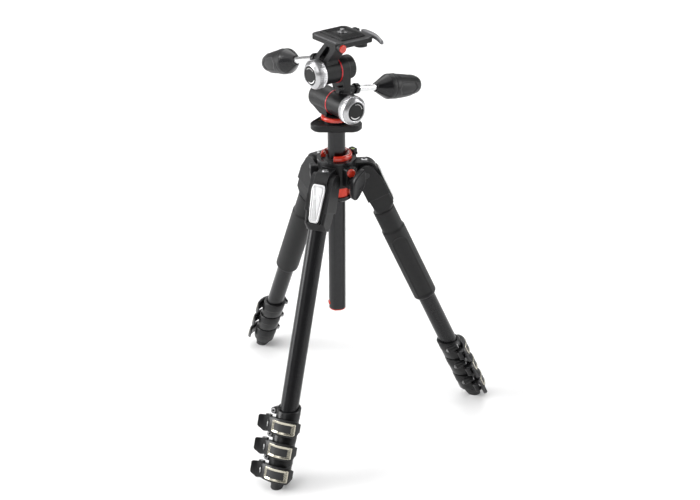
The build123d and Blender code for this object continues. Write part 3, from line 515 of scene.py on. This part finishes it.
def three_lobes(offset, radius, first, steps=14):
    # outline round three equal circles
    outline = []
    for k in range(3):
        middle = first + math.radians(120) * k
        for i in range(steps + 1):
            turn = middle + math.radians(-60 + 120 * i / steps)
            outline.append((offset * math.cos(middle) + radius * math.cos(turn),
                            offset * math.sin(middle) + radius * math.sin(turn)))
    return outline


plate_turn = math.radians(22.8)
rim = three_lobes(24, 15, plate_turn)
top_place = seat((0, 0, plate_high.z), (1, 0, 0), up)
fit("top_plate_rim", loft([[(x, y, h) for x, y in inset(rim, d)] for h, d in
                           ((-0.5, 1.2), (0.35, 1.2), (0.6, 1.5), (0.6, 2.0), (0.35, 2.3), (-0.5, 2.3))],
                          looped=True), top_place, black_steel, "column")
brass = finish("brass_set_screw", (0.62, 0.50, 0.26), (0.50, 0.40, 0.20), 0.30, metallic=1, grain=0.6,
               depth=0.1, rounding=0.2)
fit("set_screws", socket_screw(2.8, 1.2, 1.5), top_place, brass, "column",
    repeat=(round_an_axis, {"Count": 3, "Radius": 24.0, "Height": -2.4, "Start": math.radians(350),
                            "Step": math.radians(120)}))

# Head castings. Pan body, tilting arm and platform are light alloy in a dark grey textured coat;
# thin red friction rings show at each turning joint, and the red pan ring sits on the base.
red_ring = finish("red_friction_ring", (0.70, 0.020, 0.030), (0.62, 0.015, 0.022), 0.34, grain=0.6,
                  depth=0.05, rounding=0.3, coat=0.3)
dress(head_cast, "pan_body", "tilt_arm", "platform", "pan_lock_knob")
dress(red_ring, "tilt_rings")
dress(red_gloss, "pan_ring")

# Friction knobs. A turned aluminium ring with a knurled rim and a smooth bevel; dark serrations
# part rim from bevel, and the black cap carries a pale crescent and a dashed arc as a lock mark.
silver = finish("satin_turned_aluminium", (0.56, 0.56, 0.57), (0.46, 0.46, 0.47), 0.28, metallic=0.85,
                grain=0.8, depth=0.08, rounding=0.3)
cap_black = finish("black_cap_moulding", (0.010, 0.010, 0.010), (0.007, 0.007, 0.007), 0.36, grain=0.4,
                   depth=0.3, rounding=0.3, gleam=0.25)
pale_paint = finish("pale_mark_paint", (0.85, 0.85, 0.85), (0.76, 0.76, 0.76), 0.4, grain=0.8, rounding=0.1)
knob_ribs = 44


def arc_mark(inner, outer, start, end, thick, steps=20):
    # flat crescent whose ends taper to points
    rings = []
    for i in range(steps + 1):
        t = i / steps
        turn = math.radians(start + (end - start) * t)
        half = (outer - inner) / 2 * max(0.08, math.sin(math.pi * t) ** 0.5)
        middle = (outer + inner) / 2
        rings.append([((middle + d * half) * math.cos(turn), (middle + d * half) * math.sin(turn), h)
                      for d, h in ((-1, 0), (1, 0), (1, thick), (-1, thick))])
    return loft(rings)


for name, joint_name, right, crescent in (("tilt", "tilt_knob_turn", (0, 1, 0), -150),
                                          ("side", "side_knob_turn", (1, 0, 0), -112)):
    low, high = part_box(f"{name}_friction_knob")
    centre = (low + high) / 2
    if name == "tilt":
        origin, out = (low.x, centre.y, centre.z), (1, 0, 0)
    else:
        origin, out = (centre.x, high.y, centre.z), (0, -1, 0)
    place = seat(origin, right, out)
    body = f"{name}_knob"
    fit(f"{name}_knob_ring", lathe([(6.3, 0.2), (17.8, 0.2), (18.8, 0.9), (19.0, 1.6), (19.0, 11.4),
                                    (18.9, 11.9), (18.4, 12.1), (18.3, 12.6), (18.9, 12.9), (18.2, 13.6),
                                    (15.2, 16.4),
                                    (14.5, 16.8), (13.7, 16.9), (13.2, 16.6), (13.1, 15.0), (6.3, 15.0)],
                                   120, looped=True),
        place, silver, body, stands_for=(f"{name}_friction_knob",))
    fit(f"{name}_knob_ribs", stack(rounded([(-0.5, -0.7), (0.6, -0.6), (1.0, 0), (0.6, 0.6), (-0.5, 0.7)],
                                           0.2, 2), [(1.6, 0.15), (2.1, 0), (10.9, 0), (11.5, 0.15)]),
        place, silver, body,
        repeat=(round_an_axis, {"Count": knob_ribs, "Radius": 19.0, "Height": 0.0, "Start": 0.0,
                                "Step": math.tau / knob_ribs}))
    fit(f"{name}_knob_serrations", stack([(-0.5, -0.45), (0.5, 0), (-0.5, 0.45)], [(11.75, 0), (12.75, 0)]),
        place, black_steel, body,
        repeat=(round_an_axis, {"Count": knob_ribs, "Radius": 18.75, "Height": 0.0, "Start": 0.0,
                                "Step": math.tau / knob_ribs}))
    fit(f"{name}_knob_cap", lathe([(12.9, 14.0), (12.9, 16.1), (12.6, 16.35), (12.1, 16.35), (11.9, 16.2),
                                   (11.6, 16.2), (11.4, 16.4), (6, 16.5), (1, 16.5)], 96),
        place, cap_black, body)
    fit(f"{name}_knob_crescent", arc_mark(9.4, 10.9, crescent, crescent + 95, 0.45),
        place @ Matrix.Translation((0, 0, 16.3)), pale_paint, body)
    fit(f"{name}_knob_dashes", slab([(-0.5, -0.55), (0.5, -0.55), (0.5, 0.55), (-0.5, 0.55)], 0, 0.4, 0.1),
        place, pale_paint, body,
        repeat=(round_an_axis, {"Count": 7, "Radius": 9.9, "Height": 16.3,
                                "Start": math.radians(crescent + 165), "Step": math.radians(13)}))

# Quick release. An aluminium plate under a ribbed rubber pad drops into the platform's tray; the
# camera screw stands in a bright washer, with a folding wire loop for turning it by hand.
pad_rubber = finish("ribbed_pad_rubber", (0.012, 0.012, 0.0125), (0.008, 0.008, 0.0085), 0.55, grain=0.3,
                    depth=0.3, rounding=0.15, gleam=0.25)
plate_black = finish("black_anodised_plate", (0.016, 0.016, 0.0165), (0.011, 0.011, 0.0115), 0.34,
                     metallic=0.3, grain=0.6, depth=0.1, rounding=0.4, edge_wear_and_highlight=0.5)
dress(plate_black, "quick_release_plate")
dress(bright_steel, "camera_screw")
low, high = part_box("quick_release_plate")
middle = (low + high) / 2
pad_place = seat((middle.x, middle.y, high.z), (1, 0, 0), up)
bare_edge, rib_pitch = 3, 1.8
pad_length, pad_width = (high.x - low.x) * 1000 - bare_edge, (high.y - low.y) * 1000 - bare_edge
corners = [(-pad_length / 2, -pad_width / 2), (pad_length / 2, -pad_width / 2),
           (pad_length / 2, pad_width / 2), (-pad_length / 2, pad_width / 2)]
pad_ring = rounded(corners, 3, 6)
hole_radius = 8.2
hole = [(hole_radius * math.cos(math.atan2(y, x)), hole_radius * math.sin(math.atan2(y, x)))
        for x, y in pad_ring]
fit("pad_sheet", loft([[(x, y, -0.5) for x, y in pad_ring], [(x, y, 0.3) for x, y in pad_ring],
                       [(x, y, 0.5) for x, y in inset(pad_ring, 0.3)], [(x, y, 0.5) for x, y in hole],
                       [(x, y, -0.5) for x, y in hole]], looped=True),
    pad_place, pad_rubber, "quick_release")
rib = slab([(-0.45, -pad_width / 2 + 2), (0.45, -pad_width / 2 + 2), (0.45, pad_width / 2 - 2),
            (-0.45, pad_width / 2 - 2)], 0.3, 1.0, 0.25)
for side, start in (("left", -pad_length / 2 + 2), ("right", pad_length / 2 - 12.8)):
    fit(f"pad_ribs_{side}", rib.copy(), pad_place, pad_rubber, "quick_release",
        repeat=(in_rows, {"Count": 7, "Columns": 7, "Start": start, "Step": rib_pitch, "Row step": 0.0,
                          "Radius": 0.0, "Height": 0.0}))
rib.free()
cross_rib = slab([(-9.5, -0.45), (9.5, -0.45), (9.5, 0.45), (-9.5, 0.45)], 0.3, 1.0, 0.25)
for side, start in (("front", -pad_width / 2 + 2.2), ("back", pad_width / 2 - 7.6)):
    fit(f"pad_ribs_{side}", cross_rib.copy(), pad_place, pad_rubber, "quick_release",
        repeat=(in_rows, {"Count": 4, "Columns": 1, "Start": 0.0, "Step": 0.0, "Row step": rib_pitch,
                          "Radius": start, "Height": 0.0}))
cross_rib.free()
fit("screw_washer", lathe([(3.5, 0.1), (6.9, 0.1), (6.9, 0.7), (6.6, 0.95), (3.8, 0.95), (3.5, 0.7)], 48,
                          looped=True), pad_place, bright_steel, "camera_screw")


def wire(points, radius, looped=False, steps=10):
    # round wire along a row of points
    points = [Vector(p) for p in points]
    rings = []
    count = len(points)
    for i, here in enumerate(points):
        before = points[i - 1] if looped or i else here
        after = points[(i + 1) % count] if looped or i < count - 1 else here
        along = (after - before).normalized()
        side = along.cross(Vector((0, 0, 1)) if abs(along.z) < 0.9 else Vector((1, 0, 0))).normalized()
        over = along.cross(side)
        rings.append([here + side * radius * math.cos(math.tau * k / steps)
                      + over * radius * math.sin(math.tau * k / steps) for k in range(steps)])
    return loft(rings, looped)


loop = [(7.6 * math.cos(math.radians(a)), 7.6 * math.sin(math.radians(a)), 1.0) for a in range(-160, 21, 12)]
loop += [(7.6, 3.2, 1.0), (4.2, 5.2, 1.0), (-4.2, 5.2, 1.0), (-7.6, 3.2, 1.0)]
fit("screw_wire_loop", wire(loop, 0.55, looped=True), pad_place, black_steel, "camera_screw",
    sharp=60)

# Platform lever and catch. A long curved grey lever droops at its tip and lets the plate go; the
# small catch in front of its root has to be pressed first.
lever_grey = finish("grey_satin_lever", (0.17, 0.17, 0.175), (0.12, 0.12, 0.125), 0.32, metallic=0.6,
                    grain=0.6, depth=0.15, rounding=0.4, edge_wear_and_highlight=0.4)
dress(black_plastic, "safety_catch")
low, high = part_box("plate_lever")
root, tip = low.x * 1000, high.x * 1000
back, top = high.y * 1000, high.z * 1000
span = tip - root
# each station's place along the arm, its drop from the back and from the top, its width and height
along_arm = ((0.12, 4.1, 3.2, 7.6, 6.4), (0.34, 4.3, 3.2, 7.6, 6.4), (0.52, 4.7, 3.4, 7.0, 6.2),
             (0.66, 5.6, 3.9, 6.2, 5.8), (0.78, 6.8, 4.8, 5.8, 5.4), (0.89, 8.0, 5.9, 5.8, 5.0),
             (0.96, 8.7, 6.7, 5.4, 4.4))
stations = [(root + 0.4, back - 4.1, top - 3.3, 5.4, 5.8)]
stations += [(root + span * share, back - inwards, top - below, wide, tall)
             for share, inwards, below, wide, tall in along_arm]
stations += [(tip - 0.4, back - 9.1, top - 7.2, 3.4, 2.8)]
rings = []
for x, y, z, wide, tall in (tuple(station) for station in curve_through(stations, 4)):
    corners = rounded([(-wide / 2, -tall / 2), (wide / 2, -tall / 2), (wide / 2 * 0.8, tall / 2),
                       (-wide / 2 * 0.8, tall / 2)], 1.4, 3)
    rings.append([(x, y + a, z + b) for a, b in corners])
fit("plate_lever_arm", loft(rings), Matrix.Scale(0.001, 4), lever_grey, "plate_lever", sharp=50,
    stands_for=("plate_lever",))

tray_size, tray_middle, tray_level = (65, 59), (5.5, 6.5), 601.2
half_length, half_width = tray_size[0] / 2, tray_size[1] / 2
tray_edge = rounded([(-half_length, -half_width), (half_length, -half_width), (half_length, half_width),
                     (-half_length, half_width)], 10, 8)
# lighter grey ring on the tray's chamfer: partly a paler rim and partly a painted edge highlight
fit("tray_rim_and_painted_highlight", loft([[(x, y, h) for x, y in inset(tray_edge, d)] for h, d in
                        ((-1.4, 0.25), (-0.95, 0.12), (-0.10, 0.95), (0.07, 1.2), (0.07, 1.5), (-1.0, 1.3))],
                       looped=True),
    seat((tray_middle[0] / 1000, tray_middle[1] / 1000, tray_level / 1000), (1, 0, 0), up), lever_grey,
    "platform", sharp=25)

# Pan handles. Polished steel rods screw into the head through black stop collars; each carries a
# glossy cone and a rubber grip, moulded with long hexagons, that slides in along the rod.
polished = finish("polished_rod_steel", (0.80, 0.80, 0.80), (0.74, 0.74, 0.75), 0.20, metallic=0.8,
                  grain=1.2, depth=0.03, rounding=0.2)
grip_rubber = finish("handle_grip_rubber", (0.024, 0.024, 0.025), (0.016, 0.016, 0.0165), 0.42, grain=0.35,
                     depth=0.35, rounding=0.2, gleam=0.25)


def ease(value, low, high):
    t = max(0.0, min(1.0, (value - low) / (high - low)))
    return t * t * (3 - 2 * t)


def hexagon_grip(start, steps=108):
    # rubber body: a band next to the cone, four sunk hexagons, and a blunt rounded end
    line = curve_through([(16.8, 0), (17.8, 2.0), (18.0, 9), (17.3, 25), (15.8, 38.5), (13.6, 49),
                          (12.1, 54.5)], 16)
    line += curve_through([(12.1, 54.5), (10.2, 57.6), (7.4, 59.1), (3.0, 59.9), (0.3, 60)], 6)[1:]
    rings = []
    for point in line:
        radius, level = point.x, point.y
        ring = []
        for i in range(steps):
            turn = math.tau * i / steps
            near = (turn + math.pi / 4) % (math.pi / 2) - math.pi / 4
            across = abs(near) * 16.4 / 9.1
            lengthwise = abs(level - 30.5) / 18.7
            inside = 1 - max(across, across * 0.35 + lengthwise)
            sunk = 0.75 * ease(inside, 0.0, 0.14)
            ridge = 0.4 * math.exp(-((inside + 0.05) / 0.06) ** 2)
            band = -0.5 * math.exp(-((level - 7.2) / 0.8) ** 2)
            drop = (ridge - sunk + band) if level < 53.5 else 0
            ring.append(((radius + drop) * math.cos(turn), (radius + drop) * math.sin(turn), start + level))
        rings.append(ring)
    return loft(rings)


for name, joint_name, across, grip_start in (("rear", "rear_handle_turn", (1, 0, 0), 46.5),
                                             ("side", "side_handle_turn", (0, 1, 0), 60.0)):
    origin = Vector(joints[joint_name]["pos_m"])
    along = Vector(joints[joint_name]["axis"])
    place = seat(origin, across, along)
    fit(f"{name}_rod", lathe([(4.0, -5), (4.0, 9.3), (4.8, 9.3), (4.8, grip_start + 28)], 48), place,
        polished,
        f"{name}_handle", stands_for=(f"{name}_handle_rod",))
    fit(f"{name}_rod_collar", lathe([(4.9, 9.2), (6.7, 9.2), (7.3, 9.6), (7.5, 10.2), (7.5, 15.2),
                                     (7.3, 15.8),
                                     (6.7, 16.2), (4.9, 16.2)], 48, looped=True), place, black_plastic,
        f"{name}_handle")
    fit(f"{name}_grip_cone", lathe([(4.95, 0.2), (5.8, 0), (6.6, 0.4), (6.7, 1.8), (7.2, 2.4), (16.9, 19.8),
                                    (17.2, 20.6), (16.9, 21.4), (4.95, 21.4)], 96, looped=True),
        place @ Matrix.Translation((0, 0, grip_start)), black_plastic, f"{name}_grip",
        stands_for=(f"{name}_handle_grip",))
    fit(f"{name}_grip_body", hexagon_grip(grip_start + 20.5), place, grip_rubber, f"{name}_grip",
        sharp=70)

# Legs. Four satin black tubes slide in each other, from a forked cast shoulder that swings on
# the spider. Two legs wear a moulded rubber sleeve, and a silver plate sets the spread angle.
tube_black = finish("satin_black_tube", (0.013, 0.013, 0.014), (0.009, 0.009, 0.010), 0.27, metallic=0.2,
                    grain=0.6, depth=0.06, rounding=0.3, gleam=0.32)
plate_silver = finish("brushed_selector_plate", (0.80, 0.80, 0.80), (0.70, 0.70, 0.71), 0.32, metallic=0.5,
                      grain=0.7, depth=0.15, rounding=0.5)
leg_rubber = finish("leg_sleeve_rubber", (0.017, 0.017, 0.0175), (0.011, 0.011, 0.0115), 0.50, grain=0.4,
                    depth=0.4, rounding=0.3, gleam=0.25)
foot_rubber = finish("foot_rubber", (0.018, 0.018, 0.019), (0.012, 0.012, 0.013), 0.60, grain=0.5,
                     depth=0.4, rounding=0.5)
tube_radii = (13.0, 11.25, 9.5, 7.75)
wall = 1.35
tube_top, tube_stagger = 24, 2
first_lock, lock_pitch = 316, 34
collar_radius, collar_length, collar_seat = 17.2, 33.4, 18
shoulder_end = 66
sleeve_step, sleeve_end = 100, 228
foot_grip = 6


def sleeve(step, end, steps=112):
    # rubber sleeve: a neck, a step, and a long sunk panel on one side with a round upper end
    rings = []
    half = 11.5
    level = shoulder_end
    while level <= end + 0.001:
        base = 16.2 + 1.55 * ease(level, step, step + 2.5)
        base -= 1.2 * ease(level, end - 1.8, end) + 0.6 * ease(-level, -shoulder_end - 1.2, -shoulder_end)
        ring = []
        for i in range(steps):
            turn = math.tau * i / steps
            across = abs(turn - math.pi / 2) * 17.0
            above = max(0.0, step + 12 + half - level)
            inside = min(half - math.hypot(across, above), end - 5 - level)
            drop = 0.8 * ease(inside, 0, 1.0) - 0.55 * math.exp(-((inside + 0.6) / 0.6) ** 2)
            ring.append(((base - drop) * math.cos(turn), (base - drop) * math.sin(turn), level))
        rings.append(ring)
        level += 1.0
    rings.append(circle(13.05, end, steps))
    rings.append(circle(13.05, shoulder_end, steps))
    return loft(rings, looped=True)


# Flip locks. Each tube ends in a moulded clamp collar drawn up by a cap screw; a bowed lever with
# a flared thumb tab closes it, and its face carries a bevelled champagne frame round a black inset.
lock_black = finish("lock_collar_moulding", (0.010, 0.010, 0.0105), (0.007, 0.007, 0.0075), 0.32, grain=0.5,
                    depth=0.2, rounding=0.6, edge_wear_and_highlight=0.2, gleam=0.28)
lever_dark = finish("lever_moulding", (0.020, 0.020, 0.021), (0.013, 0.013, 0.0135), 0.34, grain=0.5,
                    depth=0.25, rounding=0.5, edge_wear_and_highlight=0.2, gleam=0.28)
champagne = finish("champagne_anodised_frame", (0.58, 0.55, 0.46), (0.48, 0.45, 0.37), 0.27, metallic=0.9,
                   grain=0.6, depth=0.1, rounding=0.2)
inset_black = finish("inset_grip_rubber", (0.020, 0.020, 0.021), (0.012, 0.012, 0.013), 0.55, grain=0.8,
                     depth=0.5, rounding=0.2)
bolt_drop = 13
lever_drop, lever_height, hinge_length = 20, 23.5, 13.4
slant = 5.5
bow = [(7.4, -23.8, 1.8), (15.3, -18.9, 3.9), (20.4, -8.6, 4.5), (21.0, 1.5, 4.6), (18.4, 11.0, 3.7),
       (16.3, 18.6, 2.9), (15.5, 24.5, 2.7), (16.6, 30.4, 2.5), (20.4, 36.2, 2.0)]
bow_line = curve_through(bow, 7)


def bow_at(share):
    # point, outward normal and half thickness at a share of the lever's length
    spot = share * (len(bow_line) - 1)
    i = min(len(bow_line) - 2, int(spot))
    here = bow_line[i].lerp(bow_line[i + 1], spot - i)
    along = (bow_line[i + 1] - bow_line[i])
    out = Vector((along.y, -along.x)).normalized()
    return here, out, here.z / 2


def bow_strip(first, last, stations, low, high, section):
    # closed strip along the lever between two shares of its length; section gives each ring's
    # lift over the outer face and place down the leg
    rings = []
    for k in range(stations + 1):
        share = first + (last - first) * k / stations
        here, out, half = bow_at(share)
        rings.append([(here.x + out.x * (half + lift), here.y + out.y * (half + lift), down)
                      for lift, down in section(share, half, low, high)])
    return rings


def lever_section(share, half, low, high):
    end = ease(share, 0.80, 1.0)
    tuck = ease(-share, -0.13, 0.0)
    blunt = ease(share, 0.95, 1.0)
    wave = 1.1 * math.exp(-((share - 0.66) / 0.07) ** 2)
    top, bottom = low + 3.5 * tuck + 1.6 * blunt + wave, high - 5.5 * end - 7.5 * tuck - 1.8 * blunt - wave
    r = min(0.9, half * 0.8)
    deep = -2 * half
    return [(-r, top), (-r * 0.3, top + r * 0.3), (0, top + r), (0, bottom - r), (-r * 0.3, bottom - r * 0.3),
            (-r, bottom), (deep + r, bottom), (deep, bottom - r), (deep, top + r), (deep + r, top)]


def dense(outline, most=1.2):
    # adds points along the outline's long sides, so that it can follow a bow
    filled = []
    for i, (x, y) in enumerate(outline):
        to_x, to_y = outline[(i + 1) % len(outline)]
        count = max(1, math.ceil(math.hypot(to_x - x, to_y - y) / most))
        filled += [(x + (to_x - x) * k / count, y + (to_y - y) * k / count) for k in range(count)]
    return filled


def frame_rings(share_low, share_high, low, high):
    # picture frame that follows the bow: outer foot, crest, inner slope
    lengthwise = 24
    made = []
    for lift, drawn in ((-0.6, 0.0), (0.35, 0.0), (0.75, 0.7), (0.7, 1.1), (0.05, 3.4), (-0.6, 3.4)):
        corners = [(0, low), (lengthwise, low), (lengthwise, high), (0, high)]
        outline = inset(dense(rounded(corners, 1.8, 4)), drawn)
        ring = []
        for a, down in outline:
            here, out, half = bow_at(share_low + (share_high - share_low) * a / lengthwise)
            ring.append((here.x + out.x * (half + lift), here.y + out.y * (half + lift), down))
        made.append(ring)
    return made


for leg_name in ("left", "front", "right"):
    origin = pivot[leg_name]
    down = Vector(joints[f"leg_{leg_name}_extend_1"]["axis"])
    clockwise = Vector(joints[f"leg_{leg_name}_spread"]["axis"])
    out = clockwise.cross(down)
    along_leg = seat(origin, out, down)
    on_face = seat(origin, clockwise, out)
    body = f"leg_{leg_name}"
    dress(black_cast, f"{body}_shoulder")

    plate = rounded([(-8.2, 2), (8.2, 2), (10.2, 9), (7.3, 52), (5.2, 55.5), (-5.2, 55.5), (-7.3, 52),
                     (-10.2, 9)], 2.4, 4)
    fit(f"{body}_selector_plate", [
        stack(plate, [(18.8, 0.5), (19.1, 0.1), (20.9, 0), (21.5, 0.4), (21.75, 1.0), (21.7, 1.7),
                      (21.0, 2.3)]),
        stack(plate, [(20.8, 3.2), (21.3, 3.2), (21.65, 3.6), (21.7, 4.2)])],
        on_face, plate_silver, f"{body}_selector", stands_for=(f"{body}_selector",))
    fit(f"{body}_selector_frame", loft([[(x, y, h) for x, y in inset(plate, d)] for h, d in
                                        ((17.8, -0.6), (19.6, -0.6), (20.0, -1.0), (20.0, -1.8), (19.4, -2.4),
                                         (17.8, -2.6))], looped=True),
        on_face, lock_black, body, sharp=50)
    fit(f"{body}_selector_disc", lathe([(4.2, 21.3), (4.2, 21.8), (3.9, 22.0), (3.4, 22.0), (3.2, 21.75),
                                        (0.4, 21.85)], 40, centre=(0, 20)),
        on_face, plate_silver, f"{body}_selector")

    if f"{body}_grip" in frame["nodes"]:
        fit(f"{body}_sleeve", sleeve(sleeve_step, sleeve_end), along_leg, leg_rubber, body,
            sharp=70,
            stands_for=(f"{body}_grip",))

    for index in range(3):
        part = f"{body}_section_{index + 1}"
        carrier = body if index == 0 else part
        start = first_lock + index * lock_pitch
        top = tube_top + index * tube_stagger
        radius, next_radius = tube_radii[index], tube_radii[index + 1]
        fit(f"{body}_tube_{index + 1}", lathe([(radius - wall, top), (radius, top),
                                               (radius, start + collar_seat),
                                               (radius - wall, start + collar_seat)], 96, looped=True),
            along_leg, tube_black, carrier, stands_for=(part,))
        r, n, e = collar_radius, next_radius + 0.1, start + collar_length
        ring = lathe([(radius + 0.05, start + 1.4), (radius + 0.9, start + 0.2), (r - 2.2, start),
                      (r - 0.7, start + 0.5), (r, start + 1.8), (r, start + 15.5), (r - 0.5, start + 16.2),
                      (r - 0.5, e - 2.6),
                      (r - 1.3, e - 0.8), (r - 2.8, e), (n, e), (n, start + collar_seat + 0.3),
                      (radius + 0.05, start + collar_seat + 0.3)], 96, looped=True)
        skew_low = 1.0 if index < 2 else 0.25
        for corner in ring.verts:
            outwards = 1 + corner.co.x / math.hypot(corner.co.x, corner.co.y)
            share = (corner.co.z - start) / collar_length
            corner.co.z += slant * outwards * (1 + (skew_low - 1) * share)
        bolt = start + bolt_drop
        ear = [(19.5 + 4.6 * math.cos(math.radians(a)), bolt + 4.6 * math.sin(math.radians(a)))
               for a in range(-90, 91, 15)] + [(8, bolt + 4.6), (8, bolt - 4.6)]
        clamp = slab(ear, -6.5, 9.5, 0.7)
        clamp.transform(Matrix(((0, 0, 1, 0), (1, 0, 0, 0), (0, 1, 0, 0), (0, 0, 0, 1))))
        lug_top, lug_bottom = start + lever_drop + 2.5, start + lever_drop + hinge_length - 2.5
        lug = slab([(4.5, 20), (4, 10), (13.2, 10), (13.5, 25)] + [
            (9 + 4.5 * math.cos(math.radians(a)),
             25 + 4.5 * math.sin(math.radians(a))) for a in range(0, 181, 20)],
            lug_top, lug_bottom, 0.4)
        fit(f"{body}_collar_{index + 1}", [ring, clamp, lug], along_leg, lock_black, carrier)
        fit(f"{body}_clamp_screw_{index + 1}", socket_screw(3.5, 0.9, 1.7),
            on_face @ Matrix.Translation((19.5, bolt, 9.5)), bright_steel, carrier)
        fit(f"{body}_clamp_nut_{index + 1}", [lathe([(2.9, -0.4), (2.9, 1.5), (2.5, 1.9), (0.2, 1.9)], 6),
                                              lathe([(1.5, 1.0), (1.5, 2.5), (1.2, 2.8), (0.2, 2.8)], 24)],
            on_face @ Matrix.Translation((19.5, bolt, -6.5)) @ Matrix.Rotation(math.pi, 4, "X"), bright_steel,
            carrier, sharp=30)

        lever_body = f"{body}_lever_{index + 1}"
        lever_top = start + lever_drop
        lever_end = lever_top + lever_height
        shell = loft(bow_strip(0.0, 1.0, 56, lever_top, lever_end, lever_section))
        knuckles = []
        for level in (lever_top, lever_top + hinge_length - 2.2):
            hinge = [(9 + 5.0 * math.cos(math.radians(a)), 25 + 5.0 * math.sin(math.radians(a)))
                     for a in range(45, 316, 15)]
            knuckles.append(slab(hinge + [(15.6, 19.5), (15.0, 27)], level, level + 2.2, 0.3))
        fit(f"{lever_body}_shell", [shell, *knuckles], along_leg, lever_dark, lever_body,
            sharp=45,
            stands_for=(lever_body,))
        fit(f"{lever_body}_pin", lathe([(1.5, lever_top - 0.1), (1.5, lever_top + hinge_length + 0.1)], 20,
                                         centre=(9, 25)),
            along_leg, bright_steel, lever_body)
        fit(f"{lever_body}_frame", loft(frame_rings(0.12, 0.545, lever_top + 3.0, lever_end - 3.0),
                                        looped=True),
            along_leg, champagne, lever_body, sharp=25)
        fit(f"{lever_body}_inset", loft(bow_strip(0.185, 0.48, 16, lever_top + 6.2, lever_end - 6.2,
                                                  lambda share, half, low, high: [(-0.5, low), (0.25, low),
                                                                                  (0.25, high),
                                                                                  (-0.5, high)])),
            along_leg, inset_black, lever_body)
        here, side, half = bow_at(0.685)
        window = (here.x + side.x * (half - 0.9), here.y + side.y * (half - 0.9))
        mid = (lever_top + lever_end) / 2 - 0.3
        fit(f"{lever_body}_window", lathe([(0.2, mid - 6.3), (1.5, mid - 5.9), (2.1, mid - 4.8),
                                           (2.1, mid + 4.8),
                                           (1.5, mid + 5.9), (0.2, mid + 6.3)], 24, centre=window),
            along_leg, inset_black, lever_body, sharp=60)
        window = (here.x + side.x * (half - 0.4), here.y + side.y * (half - 0.4))
        fit(f"{lever_body}_window_pin", lathe([(0.2, mid - 4.9), (1.2, mid - 4.4), (1.65, mid - 3.4),
                                               (1.65, mid + 3.4), (1.2, mid + 4.4), (0.2, mid + 4.9)], 24,
                                              centre=window),
            along_leg, bright_steel, lever_body, sharp=60)

    part = f"{body}_foot"
    start = first_lock + 3 * lock_pitch + 3
    top = tube_top + 3 * tube_stagger
    radius = tube_radii[3]
    fit(f"{body}_tube_4", lathe([(radius - wall, top), (radius, top), (radius, start + foot_grip),
                                 (radius - wall, start + foot_grip)], 72, looped=True),
        along_leg, tube_black, part, stands_for=(part,))
    rubber = lathe([(radius, start), (11.2, start), (12, start + 0.8), (12, start + 3.2), (11.4, start + 3.8),
                    (11.4, start + 5.0), (11.6, start + 5.6), (9.5, start + 13.5), (8.9, start + 14.5),
                    (8.9, start + 34), (radius, start + 34)], 72, looped=True)
    rubber.transform(along_leg)
    cut = bmesh.ops.bisect_plane(rubber, geom=rubber.verts[:] + rubber.edges[:] + rubber.faces[:], dist=1e-7,
                                 plane_co=(0, 0, 0), plane_no=(0, 0, -1), clear_outer=True)
    bmesh.ops.holes_fill(rubber, edges=[e for e in cut["geom_cut"] if isinstance(e, bmesh.types.BMEdge)])
    bmesh.ops.recalc_face_normals(rubber, faces=rubber.faces)
    fit(f"{body}_rubber_foot", rubber, Matrix.Identity(4), foot_rubber, part)
